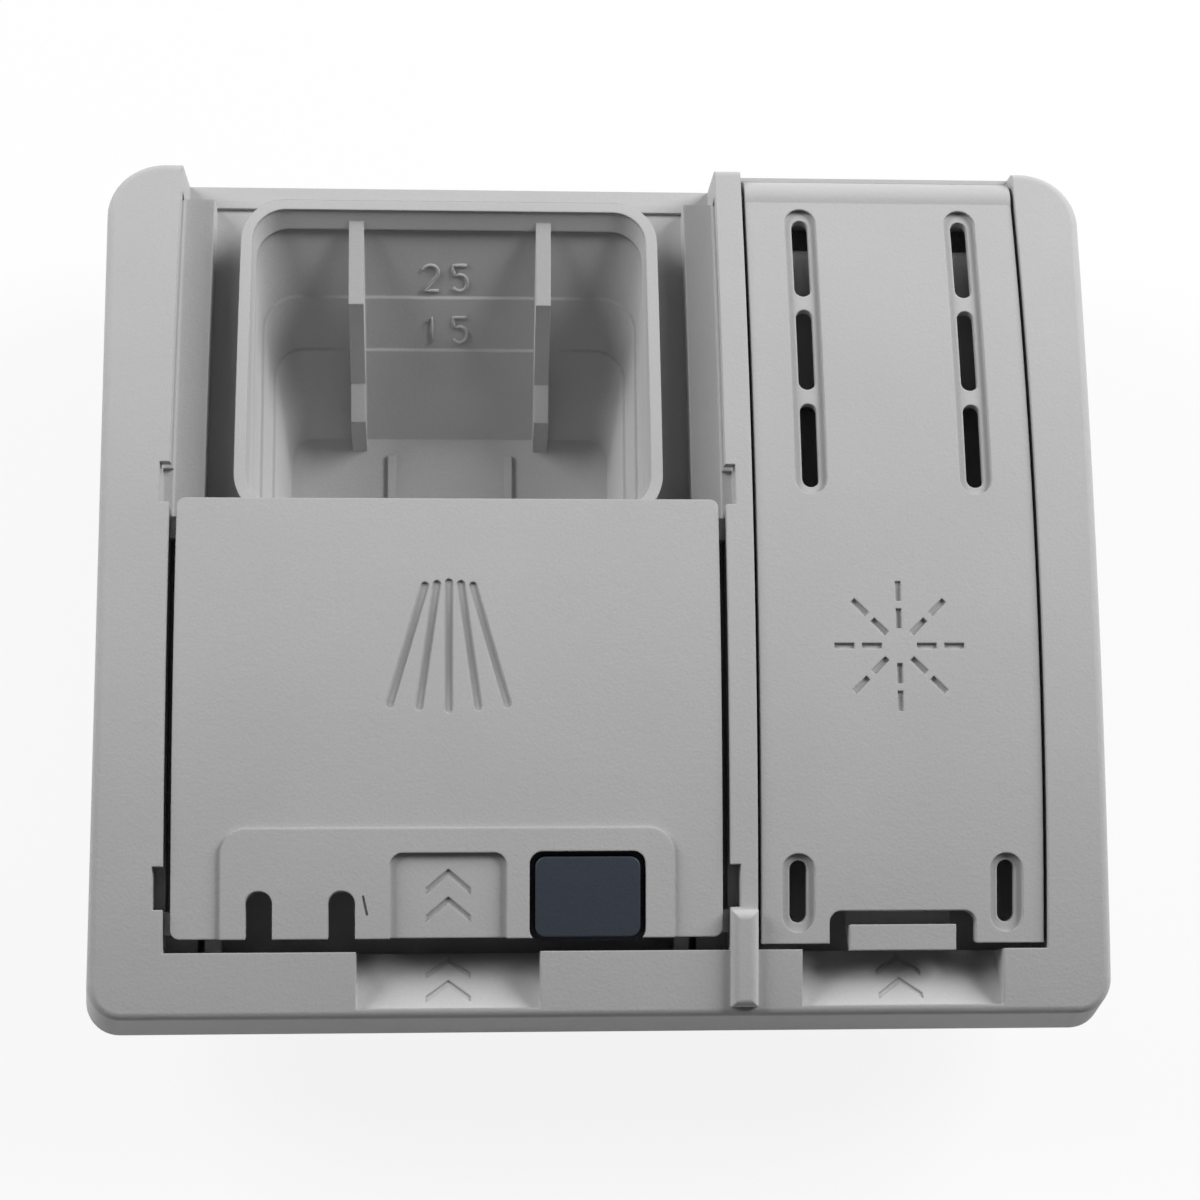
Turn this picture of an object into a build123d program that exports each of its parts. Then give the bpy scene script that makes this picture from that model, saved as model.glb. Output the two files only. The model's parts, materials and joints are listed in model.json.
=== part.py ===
from build123d import *
import os
from math import asin, cos, radians, sin, tan

# Dishwasher detergent dispenser: a crowned bezel with a detergent cup under a sliding lid
# and a rinse aid tank under a hinged flap. It lies on its back: +Z points out of the face,
# +Y towards the flap hinge. Millimetres, origin below the centre of the rim.

# Overall bezel
RIM_WIDTH = 165.0
RIM_HEIGHT = 142.0
CREST_Z = 40.0
CREST_Y = -4.0
FACE_RADIUS = 311.0
DOOR_Z = 17.5
SIDE_DRAFT = 8.0
TOP_DRAFT = 0.8
SKIN = 2.2
WALL = 2.0
CORNER_TOP = 9.5
CORNER_BOTTOM = 5.5
EDGE_ROUND = 1.4
FLANGE_WIDTH = 6.0
FLANGE_THICK = 2.0
LEFT_BEZEL = 13.9
RIGHT_BEZEL = 13.1
LEDGE = 12.3

# Door seal behind the rim
SEAL_INSET = 1.2
SEAL_WIDTH = 3.6
SEAL_THICK = 2.0

# Lid well, its rails and the cup
WELL_SHARE = 0.53515
WELL_DEPTH = 11.5
WELL_FLOOR = 2.0
RAIL_WIDTH = 4.8
RAIL_DEPTH = 7.0
GROOVE_DEEP = 1.6
GROOVE_TOP = 2.2
GROOVE_BOTTOM = 4.8
NOTCH_LENGTH = 6.6
NOTCH_UPPER = 3.1
NOTCH_LOWER = 9.9
END_BEAD = 1.4
END_BEAD_HIGH = 0.6
DIVIDER = 4.3

CUP_SIDE = 11.6
CUP_TOP_LEDGE = 7.0
CUP_BOTTOM_Y = 11.9
CUP_CORNER = 5.5
CUP_SHOULDER_Z = 28.0
CUP_FLOOR_Z = 4.0
CUP_TAPER = 5.2
CHUTE_RUN = 33.2
CUP_FRONT_TAPER = 2.6
CUP_FLOOR_CORNER = 4.0
LIP_WALL = 1.9
LIP_DROP = 4.0
MARK_STEP = 0.55
MARK_LOW_Z = 13.5
MARK_HIGH_Z = 18.7
TABLET_RIB = 2.5
TABLET_RIB_SHARE = 0.4793
TABLET_RIB_LEDGE = 15.4
FLOOR_RIB = 1.3
FLOOR_RIB_HIGH = 0.7
FLOOR_RIB_PITCH = 20.2
FOOT_RIB = 2.0
FOOT_RIB_PITCH = 20.0

# Finger recesses in the lower ledge
LID_RECESS_WIDTH = 28.7
FLAP_RECESS_SIDE = 6.4
RECESS_FOOT = 3.4
RECESS_DEEP = 8.5
RECESS_RUN_OUT = 1.2
CHEVRON_WIDTH = 7.0
CHEVRON_HIGH = 3.0
CHEVRON_LINE = 1.0
CHEVRON_DEEP = 0.3
CHEVRON_PITCH = 4.3
FOOT_POST_RISE = 1.7
FOOT_POST_TOP = 6.2
FOOT_POST_FOOT = 3.6
FOOT_POST_ROUND = 1.3

# Sliding lid
LID_SIDE_GAP = 1.2
LID_COVER = 0.7
LID_FOOT_GAP = 2.0
LID_DROP = 0.6
LID_THICK = 2.4
LID_CORNER = 1.4
SKIRT = 1.6
RUN_GAP = 0.3
LUG_REACH = 2.3
LUG_LENGTH = 3.6
LUG_THICK = 1.7
LUG_GAP = 0.35
LUG_FOOT = 0.4
LUG_HEAD = 6.2
PAD_SIDE = 7.65
PAD_LENGTH = 17.0
PAD_CORNER = 4.0
PAD_RISE = 0.55
PAD_SLOT_WIDTH = 4.2
PAD_SLOT_LENGTH = 7.4
PAD_SLOT_OFFSETS = (-29.35, -16.55)
PAD_POCKET_WIDTH = 18.2
PAD_POCKET_LENGTH = 13.2
PAD_POCKET_DEEP = 0.9
SIGN_DEEP = 0.5
SPRAY_WIDTH = 1.3
SPRAY_HEAD = 13.8
SPRAY_LENGTH = 20.0
SPRAY_TOP_PITCH = 1.9
SPRAY_BOTTOM_PITCH = 4.6
SPRING_LUG = 2.4
SPRING_LUG_HEAD = 5.6
HOOK_WIDTH = 3.4
HOOK_LENGTH = 3.8
HOOK_FOOT = 6.0
HOOK_DEEP = 9.5
HOOK_RUN = 0.4

# Release button in the lid
BUTTON_SHARE = 0.2532
BUTTON_WIDTH = 16.4
BUTTON_LENGTH = 12.4
BUTTON_FOOT = 6.4
BUTTON_CORNER = 1.6
BUTTON_GAP = 0.9
BUTTON_HIGH = 4.0
BUTTON_FLANGE = 1.0
BUTTON_FLANGE_THICK = 1.2
RETAINER_DEEP = 9.9
RETAINER_THICK = 1.2
RETAINER_LENGTH = 7.0
BUTTON_SPRING_R = 2.6
BUTTON_WIRE_R = 0.3

# Rinse aid flap
FLAP_GAP = 0.6
FLAP_FOOT_GAP = 0.785
FLAP_THICK = 2.4
FLAP_SKIRT_DEEP = 6.2
HINGE_INSET = 5.4
HINGE_DEEP = 4.41
HINGE_BARREL = 4.0
HINGE_PIN = 1.8
HINGE_PIN_LENGTH = 1.9
PIN_CLEARANCE = 0.06
JOIN_DEPTH = 0.4
HINGE_RUN = 0.5
SLOT_WIDTH = 2.8
SLOT_LENGTH = 14.2
SLOT_PITCH = 16.7
SLOT_HEAD = 10.7
SLOT_SHARE = 0.596
SLOT_TROUGH = 5.2
SLOT_TROUGH_DEEP = 0.8
LOW_SLOT_LENGTH = 9.8
LOW_SLOT_FOOT = 8.1
LOW_SLOT_SHARE = 0.7366
STAR_FOOT = 47.0
STAR_INNER = 2.8
STAR_DASH = 3.2
STAR_SPACE = 1.2
STAR_WIDTH = 0.9
TAB_NOTCH_SHARE = 0.52
TAB_NOTCH_LENGTH = 5.2
TAB_NOTCH_CORNER = 1.9

# Flap latch with its pull tab
LATCH_SIDE = 3.25
LATCH_FOOT = 11.2
LATCH_DEEP = 6.34
LATCH_BARREL = 1.7
LATCH_PIN = 1.0
LATCH_EAR = 1.6
LATCH_EAR_GAP = 0.35
LATCH_EAR_HALF = 2.6
LATCH_EAR_LOW = 2.4
TAB_REACH = 0.2
TAB_DROP = 0.42
TAB_THICK = 1.7
TAB_FACE = 4.0
TAB_UNDERCUT = 4.4
NOSE_THICK = 1.4
NOSE_GAP = 0.9
NOSE_ROOT = 0.4
NOSE_TOP = 3.0
NOSE_TIP_TOP = 2.6
NOSE_TIP_LOW = 1.8
NOSE_LOW = 1.0
CATCH_POST_FOOT = 6.7
CATCH_POST_WIDTH = 10.0
CATCH_POST_THICK = 1.9
CATCH_POST_HIGH = 3.6

# Rinse aid tank
DECK_Z = 24.0
TANK_FOOT = 1.7
TANK_HEAD = 7.6
COVER_THICK = 2.0
FILL_Y = -2.0
FILL_RADIUS = 11.0
FUNNEL_WALL = 1.2
FUNNEL_FLANGE = 13.6
FUNNEL_FLANGE_THICK = 1.5
FUNNEL_LENGTH = 9.0
PLUG_RADIUS = 12.6
PLUG_STEM_WALL = 1.6
PLUG_STEM = 9.6
PLUG_THICK = 3.0
PLUG_GAP = 0.3
KNOB_HEAD = 15.6
KNOB_RADIUS = 8.5
KNOB_HIGH = 4.6
KNOB_GRIP_HIGH = 3.0
KNOB_STEM = 3.0
KNOB_STEM_LENGTH = 9.0
KNOB_GAP = 0.3
KNOB_CHAMFER = 0.8
KNOB_GRIP = 3.2
KNOB_WALL = 1.2
KNOB_RING_WALL = 1.6
KNOB_RING_THICK = 1.5
FLOAT_HEAD = 10.0
FLOAT_PIN_Z = 8.0
FLOAT_PIN = 1.2
FLOAT_WIDTH = 16.0
FLOAT_LENGTH = 16.0
FLOAT_THICK = 8.5
FLOAT_REACH = 26.0
FLOAT_HUB = 2.6
FLOAT_ARM = 8.0
FLOAT_ARM_THICK = 2.4
FLOAT_CORNER = 2.0
EAR_THICK = 2.0
MAGNET_RADIUS = 3.0
MAGNET_LENGTH = 3.0

# Level sensor on the tank's outer wall
SENSOR_Y = 8.0
SENSOR_LENGTH = 24.0
SENSOR_DEPTH = 4.0
SENSOR_HIGH = 9.0
SENSOR_Z = 11.0
SENSOR_CLIP = 1.4
SENSOR_CHAMFER = 0.8
SENSOR_TABS = 12.0
SENSOR_TAB_LONG = 5.5

# Catch shaft and crank
SHAFT_Y = -12.0
SHAFT_RADIUS = 2.5
SHAFT_BOSS = 5.0
SHAFT_BOSS_LOW = 19.0
SHAFT_END = 1.6
CATCH_HUB_WALL = 0.6
FINGER_WIDTH = 3.0
FINGER_LENGTH = 11.4
FINGER_HIGH = 4.4
FINGER_LIFT = 0.6
FINGER_ROUND = 0.9
CATCH_TURN = 20.0
CRANK_ARM = 12.0
CRANK_THICK = 2.4
CRANK_WIDTH = 7.0
CRANK_Z = 15.0
CRANK_OVERHANG = 2.0
CRANK_HUB_WALL = 1.8
CLIP_THICK = 0.8
CLIP_WALL = 1.6
CLIP_MOUTH = 2.4
SHAFT_SEAL = 1.6
SHAFT_SEAL_HIGH = 1.4
SHAFT_SEAL_BITE = 0.3
SHAFT_SEAL_SINK = 0.5

# Solenoid
COIL_SIDE = 15.7
COIL_Z = 13.0
COIL_RADIUS = 8.8
COIL_LENGTH = 20.0
BOBBIN_BORE = 4.4
BOBBIN_WALL = 1.0
BOBBIN_FLANGE = 18.6
BOBBIN_FLANGE_THICK = 1.2
YOKE_THICK = 1.5
YOKE_WIDTH = 20.0
YOKE_EAR = 11.0
YOKE_EAR_WIDTH = 10.0
YOKE_EAR_END = 8.0
YOKE_LOW_Z = 2.0
YOKE_TOP_Z = 22.5
ARMATURE_RADIUS = 4.0
ARMATURE_LENGTH = 24.0
ROD_RADIUS = 1.5
ROD_PIN = 1.2
SCREW_SHANK = 1.5
SCREW_HEAD = 2.9
SCREW_HEAD_HIGH = 1.8
SCREW_LENGTH = 10.0
SCREW_BOSS = 3.4
TERMINAL_BLOCK = 6.2
TERMINAL_DEEP = 3.0
TERMINAL_HIGH = 8.0
TERMINAL_INSET = 1.0
TERMINAL_PITCH = 4.8
TAB_WIDE = 4.8
TAB_LONG = 7.0
TAB_METAL = 0.8
COLLAR_RADIUS = 5.6
COLLAR_THICK = 1.2
CORE_OUT = 2.0
ROD_END = 2.2
ROD_PIN_OVER = 0.8
RETURN_SPACE = 5.6
SPRING_END_GAP = 0.05

# Dosing valve in the tank wall, in line with the armature
VALVE_STEM = 1.6
VALVE_HEAD = 4.2
VALVE_HEAD_THICK = 2.4
VALVE_GUIDE = 4.0
VALVE_GUIDE_LENGTH = 4.0
VALVE_POST = 2.4
VALVE_STEM_OUT = 1.0
VALVE_SPRING_LENGTH = 6.0
VALVE_SEAT_GAP = 0.4

# Coil springs
LID_SPRING_R = 1.7
SPRING_DEPTH = 7.2
SPRING_ANCHOR = 1.4
LID_WIRE_R = 0.3
LID_SPRING_TURNS = 14
RETURN_SPRING_R = 3.2
RETURN_WIRE_R = 0.35

# Snap hooks that hold the dispenser in the door
HOOK_BLADE = 9.0
HOOK_BLADE_THICK = 1.8
SNAP_LOW_Z = 7.0
SNAP_BARB = 1.8
SNAP_INSET = 8.2
SNAP_Y = (-44.0, 36.0)

AXIS_Z = CREST_Z - FACE_RADIUS
FAR = 400.0
OVER = 12.0


def crown_point(v, depth=0.0):
    """Point (y, z) at arc length v from the crest, at a depth below the crowned face."""
    angle = v / FACE_RADIUS
    radius = FACE_RADIUS - depth
    return CREST_Y + radius * sin(angle), AXIS_Z + radius * cos(angle)


def arc_of(y):
    """Arc length on the face of a point at height y."""
    return FACE_RADIUS * asin((y - CREST_Y) / FACE_RADIUS)


def face_z(y):
    """Height of the crowned face at y."""
    return crown_point(arc_of(y))[1]


TOP_Y = RIM_HEIGHT / 2
WELL_BOTTOM_Y = LEDGE - RIM_HEIGHT / 2
WELL_WIDTH = RIM_WIDTH * WELL_SHARE
WELL_LEFT = LEFT_BEZEL - RIM_WIDTH / 2
WELL_RIGHT = WELL_LEFT + WELL_WIDTH
LID_X = (WELL_LEFT + WELL_RIGHT) / 2
NOTCH_UPPER_Y = CUP_BOTTOM_Y + NOTCH_UPPER
NOTCH_LOWER_Y = WELL_BOTTOM_Y + NOTCH_LOWER
CUP_WIDTH = WELL_WIDTH - 2 * CUP_SIDE
CUP_TOP_Y = TOP_Y - CUP_TOP_LEDGE
CUP_FLOOR_WIDTH = CUP_WIDTH - 2 * CUP_TAPER
CUP_FLOOR_TOP_Y = CUP_TOP_Y - CHUTE_RUN
CUP_FLOOR_BOTTOM_Y = CUP_BOTTOM_Y + CUP_FRONT_TAPER
TABLET_RIB_PITCH = CUP_WIDTH * TABLET_RIB_SHARE
RECESS_END_Y = RECESS_FOOT - RIM_HEIGHT / 2

LID_WIDTH = WELL_WIDTH - 2 * LID_SIDE_GAP
LID_TOP = arc_of(CUP_BOTTOM_Y) + LID_COVER
LID_FOOT = arc_of(WELL_BOTTOM_Y) + LID_FOOT_GAP
PAD_WIDTH = LID_WIDTH - 2 * PAD_SIDE
SPRAY_TOP = LID_TOP - SPRAY_HEAD
SPRING_LUG_V = LID_TOP - SPRING_LUG_HEAD
CATCH_HUB = SHAFT_RADIUS + CATCH_HUB_WALL
HOOK_V = LID_FOOT + HOOK_FOOT
HOOK_SIDE = CATCH_HUB + HOOK_RUN + HOOK_WIDTH / 2
BUTTON_X = LID_X + LID_WIDTH * BUTTON_SHARE
BUTTON_V = LID_FOOT + BUTTON_FOOT

FLAP_WELL_LEFT = WELL_RIGHT + DIVIDER
FLAP_LEFT = FLAP_WELL_LEFT + FLAP_GAP
FLAP_RIGHT = RIM_WIDTH / 2 - RIGHT_BEZEL
FLAP_WELL_RIGHT = FLAP_RIGHT + FLAP_GAP
FLAP_X = (FLAP_LEFT + FLAP_RIGHT) / 2
FLAP_WIDTH = FLAP_RIGHT - FLAP_LEFT
HINGE_Y = TOP_Y - HINGE_INSET
HINGE_Z = face_z(HINGE_Y) - HINGE_DEEP
FLAP_BOTTOM = arc_of(WELL_BOTTOM_Y) + FLAP_FOOT_GAP
FLAP_TOP = arc_of(HINGE_Y)
FLAP_RECESS_WIDTH = FLAP_WIDTH - 2 * FLAP_RECESS_SIDE
SLOT_FIRST = FLAP_TOP - SLOT_HEAD
SLOT_SPREAD = FLAP_WIDTH * SLOT_SHARE
LOW_SLOT_V = FLAP_BOTTOM + LOW_SLOT_FOOT
LOW_SLOT_SPREAD = FLAP_WIDTH * LOW_SLOT_SHARE
STAR_V = FLAP_BOTTOM + STAR_FOOT
TAB_NOTCH_WIDTH = FLAP_WIDTH * TAB_NOTCH_SHARE
LATCH_WIDTH = TAB_NOTCH_WIDTH - 2 * LATCH_SIDE
LATCH_PIVOT_Y = WELL_BOTTOM_Y + LATCH_FOOT
LATCH_PIVOT_Z = face_z(LATCH_PIVOT_Y) - LATCH_DEEP
TAB_END_Y = WELL_BOTTOM_Y - TAB_REACH
TAB_END_Z = face_z(TAB_END_Y) - TAB_DROP
CATCH_POST_Y = WELL_BOTTOM_Y + CATCH_POST_FOOT

DECK_LOW_Z = DECK_Z - WALL
TANK_LEFT = FLAP_WELL_LEFT - WALL
TANK_RIGHT = FLAP_WELL_RIGHT + WALL
TANK_BOTTOM_Y = WELL_BOTTOM_Y + TANK_FOOT
TANK_TOP_Y = HINGE_Y - TANK_HEAD
KNOB_Y = HINGE_Y - KNOB_HEAD
FLOAT_PIN_Y = KNOB_Y - FLOAT_HEAD
COIL_X = WELL_RIGHT - COIL_SIDE
ARMATURE_TRAVEL = 2 * CRANK_ARM * sin(radians(CATCH_TURN / 2))
ROD_Y = SHAFT_Y - CRANK_ARM * cos(radians(CATCH_TURN / 2))
VALVE_REST = FLAP_WELL_LEFT + VALVE_GUIDE_LENGTH - WALL + ARMATURE_TRAVEL + VALVE_SEAT_GAP
VALVE_POST_X = VALVE_REST + VALVE_HEAD_THICK + VALVE_SPRING_LENGTH


def block(x0, x1, y0, y1, z0, z1):
    """Box between two corners."""
    centre = Pos((x0 + x1) / 2, (y0 + y1) / 2, (z0 + z1) / 2)
    return centre * Box(x1 - x0, y1 - y0, z1 - z0)


def side_prism(points, x0, x1):
    """Prism along X of an outline given as (y, z) points."""
    face = make_face(Polyline(*points, close=True))
    return extrude(Plane.YZ.offset(x0) * face, amount=x1 - x0, dir=(1, 0, 0))


def fused(pieces):
    """One shape joined from several pieces."""
    whole = pieces[0]
    for piece in pieces[1:]:
        whole += piece
    return whole


def arc_slab(top, bottom, v0, v1, x0, x1):
    """Slab concentric with the face, between two depths, with radial ends."""
    middle = (v0 + v1) / 2
    edges = [
        Line(crown_point(v0, bottom), crown_point(v0, top)),
        ThreePointArc(crown_point(v0, top), crown_point(middle, top), crown_point(v1, top)),
        Line(crown_point(v1, top), crown_point(v1, bottom)),
        ThreePointArc(crown_point(v1, bottom), crown_point(middle, bottom), crown_point(v0, bottom)),
    ]
    return extrude(Plane.YZ.offset(x0) * make_face(edges), amount=x1 - x0, dir=(1, 0, 0))


def crown_cylinder(depth=0.0):
    """Large cylinder whose upper side is the face, lowered by a depth."""
    return Pos(0, CREST_Y, AXIS_Z) * Rot(0, 90, 0) * Cylinder(FACE_RADIUS - depth, FAR)


def plan_prism(sketch, x, y, z0, z1):
    """Upright prism of a sketch centred at (x, y)."""
    return extrude(Pos(x, y, z0) * sketch, amount=z1 - z0, dir=(0, 0, 1))


def rod_x(radius, x0, x1, y, z):
    """Round rod along X."""
    return Pos((x0 + x1) / 2, y, z) * Rot(0, 90, 0) * Cylinder(radius, x1 - x0)


def rod_z(radius, x, y, z0, z1):
    """Round rod along Z."""
    return Pos(x, y, (z0 + z1) / 2) * Cylinder(radius, z1 - z0)


def tangent_plane(v, x=0.0, depth=0.0):
    """Plane that touches the face at arc length v, with its normal pointing outwards."""
    y, z = crown_point(v, depth)
    angle = v / FACE_RADIUS
    return Plane(origin=(x, y, z), x_dir=(1, 0, 0), z_dir=(0, sin(angle), cos(angle)))


def coil(radius, wire, length, turns):
    """Round-wire helix along Z, starting at z = 0."""
    path = Helix(pitch=length / turns, height=length, radius=radius)
    section = Plane(origin=path @ 0, z_dir=path % 0) * Circle(wire)
    return sweep(section, path=path)


def rim_outline(inset, rise=0.0):
    """Rounded outline of the rim, drawn in by an inset and by the walls' draft at a rise."""
    side = rise * tan(radians(SIDE_DRAFT)) + inset
    x = RIM_WIDTH / 2 - side
    low = side - RIM_HEIGHT / 2
    high = RIM_HEIGHT / 2 - inset - rise * tan(radians(TOP_DRAFT))
    outline = make_face(Polyline((-x, low), (x, low), (x, high), (-x, high), close=True))
    outline = fillet(outline.vertices().group_by(Axis.Y)[-1], max(CORNER_TOP - inset, WALL))
    return fillet(outline.vertices().group_by(Axis.Y)[0], max(CORNER_BOTTOM - inset, WALL))


def rim_body(inset, low, high):
    """Drafted body inside the rim between two heights."""
    foot = Pos(0, 0, low) * rim_outline(inset, low - DOOR_Z)
    head = Pos(0, 0, high) * rim_outline(inset, high - DOOR_Z)
    return loft([foot, head], ruled=True)


def cup_space(grow, z_floor, z_top):
    """Inside of the cup: a straight mouth above a shoulder, then a chute to the floor."""
    mouth_y = (CUP_TOP_Y + CUP_BOTTOM_Y) / 2
    floor_y = (CUP_FLOOR_TOP_Y + CUP_FLOOR_BOTTOM_Y) / 2
    mouth = RectangleRounded(
        CUP_WIDTH + 2 * grow, CUP_TOP_Y - CUP_BOTTOM_Y + 2 * grow, CUP_CORNER + grow)
    floor = RectangleRounded(
        CUP_FLOOR_WIDTH + 2 * grow,
        CUP_FLOOR_TOP_Y - CUP_FLOOR_BOTTOM_Y + 2 * grow,
        CUP_FLOOR_CORNER + grow)
    mouth_at = Pos(LID_X, mouth_y, CUP_SHOULDER_Z) * mouth
    floor_at = Pos(LID_X, floor_y, z_floor) * floor
    chute = loft([floor_at, mouth_at], ruled=True)
    return chute + plan_prism(mouth, LID_X, mouth_y, CUP_SHOULDER_Z, z_top)


def chevron(width, high, line):
    """Sketch of one upward chevron."""
    half = width / 2
    points = [(-half, 0), (0, high), (half, 0), (half, line), (0, high + line), (-half, line)]
    return make_face(Polyline(*points, close=True))


def chevrons_cut(plane):
    """Two upward chevrons sunk into the surface that lies on a plane, one above the other."""
    mark = chevron(CHEVRON_WIDTH, CHEVRON_HIGH, CHEVRON_LINE)
    low = -(CHEVRON_PITCH + CHEVRON_HIGH + CHEVRON_LINE) / 2
    cuts = []
    for step in (0, 1):
        place = plane * Pos(0, low + step * CHEVRON_PITCH)
        cuts.append(extrude(place * mark, amount=CHEVRON_DEEP, both=True))
    return cuts


def bezel_space():
    """Hollow under the bezel's skin, open at the back inside the flange."""
    top = CREST_Z + OVER
    under_skin = rim_body(SKIN, DOOR_Z + FLANGE_THICK, top) & crown_cylinder(SKIN)
    mouth = plan_prism(rim_outline(FLANGE_WIDTH), 0, 0, DOOR_Z - 1, DOOR_Z + FLANGE_THICK + 1)
    return under_skin + mouth


def crown_depth(point):
    """Depth of a point below the crowned face."""
    return FACE_RADIUS - ((point.Y - CREST_Y) ** 2 + (point.Z - AXIS_Z) ** 2) ** 0.5


def bezel():
    """Crowned skin with the solid stock of the lid well, flap well and finger recesses."""
    top = CREST_Z + OVER
    core = block(-RIM_WIDTH, RIM_WIDTH, -RIM_HEIGHT, RIM_HEIGHT, DOOR_Z - 1, top) - bezel_space()
    core += lid_well_stock()
    core += block(TANK_LEFT, TANK_RIGHT, WELL_BOTTOM_Y - WALL, RIM_HEIGHT, DECK_LOW_Z, top)
    for x, width in recesses():
        core += side_prism(recess_profile(WALL), x - width / 2 - WALL, x + width / 2 + WALL)
    body = core & (rim_body(0, DOOR_Z, top) & crown_cylinder())
    crest = body.edges().filter_by(lambda e: abs(crown_depth(e.center())) < 0.5)
    return fillet(crest, EDGE_ROUND)


def lid_well_stock():
    """Solid stock of the lid well, above the curved underside of its floor."""
    stock = block(WELL_LEFT - GROOVE_DEEP - WALL, FLAP_WELL_LEFT, WELL_BOTTOM_Y - WALL, RIM_HEIGHT,
                  DOOR_Z - 1, CREST_Z + OVER)
    return stock - crown_cylinder(WELL_DEPTH + WELL_FLOOR)


def recesses():
    """Place along X and width of each finger recess."""
    return [(LID_X, LID_RECESS_WIDTH), (FLAP_X, FLAP_RECESS_WIDTH)]


def lid_well_space():
    """Open space of the lid well above its curved floor."""
    space = block(WELL_LEFT, WELL_RIGHT, WELL_BOTTOM_Y, TOP_Y + OVER, 0, CREST_Z + OVER)
    return space - crown_cylinder(WELL_DEPTH)


def flap_well_space():
    """Open space under the flap, with the round trough of its hinge."""
    low = block(
        FLAP_WELL_LEFT, FLAP_WELL_RIGHT, WELL_BOTTOM_Y, HINGE_Y, DECK_Z, CREST_Z + OVER)
    high = block(
        FLAP_WELL_LEFT, FLAP_WELL_RIGHT, HINGE_Y, TOP_Y + OVER, HINGE_Z - 0.7, CREST_Z + OVER)
    trough = rod_x(HINGE_BARREL + HINGE_RUN, FLAP_WELL_LEFT, FLAP_WELL_RIGHT, HINGE_Y, HINGE_Z)
    return low + high + trough


def recess_profile(grow):
    """Side outline of a finger recess that runs out at the lower edge."""
    top = CREST_Z + OVER
    y_low, z_low = crown_point(arc_of(RECESS_END_Y), RECESS_RUN_OUT)
    y_in = WELL_BOTTOM_Y + 0.5
    y_wall, z_wall = crown_point(arc_of(WELL_BOTTOM_Y), RECESS_DEEP)
    return [(y_in, top), (y_in, z_wall - grow), (y_low - grow, z_low - grow), (y_low - grow, top)]


def recess_floor(x):
    """Plane of a finger recess's sloping floor, with its normal pointing outwards."""
    _, (y_in, z_in), (y_low, z_low), _ = recess_profile(0)
    middle = (x, (y_in + y_low) / 2, (z_in + z_low) / 2)
    return Plane(origin=middle, x_dir=(1, 0, 0), z_dir=(0, z_low - z_in, y_in - y_low))


def foot_post():
    """Raised foot of the divider between the two finger recesses."""
    v0 = arc_of(FOOT_POST_FOOT - RIM_HEIGHT / 2)
    v1 = arc_of(WELL_BOTTOM_Y + FOOT_POST_TOP)
    post = arc_slab(-FOOT_POST_RISE, WALL, v0, v1, WELL_RIGHT, FLAP_WELL_LEFT)
    proud = post.edges().filter_by(lambda e: crown_depth(e.center()) < -FOOT_POST_RISE / 2)
    return fillet(proud, FOOT_POST_ROUND)


def tablet_ribs():
    """Two stepped ribs on the chute that keep a tablet off the wall."""
    points = [
        (CUP_TOP_Y + 1.0, CUP_SHOULDER_Z - 0.8), (CUP_TOP_Y - TABLET_RIB_LEDGE, CUP_SHOULDER_Z - 2.5),
        (CUP_FLOOR_TOP_Y + 7.2, CUP_FLOOR_Z + 10.0), (CUP_FLOOR_TOP_Y + 1.0, CUP_FLOOR_Z + 8.0),
        (CUP_FLOOR_TOP_Y - 2.3, CUP_FLOOR_Z - 0.5), (CUP_TOP_Y + 1.0, CUP_FLOOR_Z - 0.5),
    ]
    within = cup_space(LIP_WALL / 2, CUP_FLOOR_Z - WALL / 2, CREST_Z)
    ribs = []
    for side in (-1, 1):
        x = LID_X + side * TABLET_RIB_PITCH / 2
        ribs.append(side_prism(points, x - TABLET_RIB / 2, x + TABLET_RIB / 2) & within)
    return ribs


def floor_ribs():
    """Two low ribs on the cup's floor and the foot ribs under it."""
    ribs = []
    for side in (-1, 1):
        x = LID_X + side * FLOOR_RIB_PITCH / 2
        ribs.append(block(x - FLOOR_RIB / 2, x + FLOOR_RIB / 2, CUP_FLOOR_BOTTOM_Y - 0.5,
                          CUP_FLOOR_TOP_Y - 3.0, CUP_FLOOR_Z - 0.5, CUP_FLOOR_Z + FLOOR_RIB_HIGH))
    for step in (-1, 0, 1):
        x = LID_X + step * FOOT_RIB_PITCH
        ribs.append(block(x - FOOT_RIB / 2, x + FOOT_RIB / 2, CUP_FLOOR_BOTTOM_Y + 1.0,
                          CUP_FLOOR_TOP_Y - 1.0, 0, CUP_FLOOR_Z - WALL / 2))
    return ribs


def rails():
    """Ledges that the lid's skirts run on, the spring anchors and the bead at the open end."""
    v0 = arc_of(WELL_BOTTOM_Y) - 1.0
    v1 = arc_of(TOP_Y - 0.4)
    left = arc_slab(RAIL_DEPTH, WELL_DEPTH + 1, v0, v1, WELL_LEFT - 0.5, WELL_LEFT + RAIL_WIDTH)
    right = arc_slab(RAIL_DEPTH, WELL_DEPTH + 1, v0, v1, WELL_RIGHT - RAIL_WIDTH, WELL_RIGHT + 0.5)
    bead = arc_slab(WELL_DEPTH - END_BEAD_HIGH, WELL_DEPTH + 1, v1 - END_BEAD, v1,
                    WELL_LEFT - 0.5, WELL_RIGHT + 0.5)
    ends = block(WELL_LEFT - 1, WELL_RIGHT + 1, TOP_Y - 4.2, TOP_Y + 1, 0, CREST_Z)
    ledges = (left + right) - ends + bead
    for side in (-1, 1):
        x = LID_X + side * spring_offset()
        ledges += arc_slab(SPRING_DEPTH - LID_SPRING_R, WELL_DEPTH + 1, v0, v0 + 1.0 + SPRING_ANCHOR,
                           x - SPRING_LUG / 2, x + SPRING_LUG / 2)
    return ledges


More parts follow.
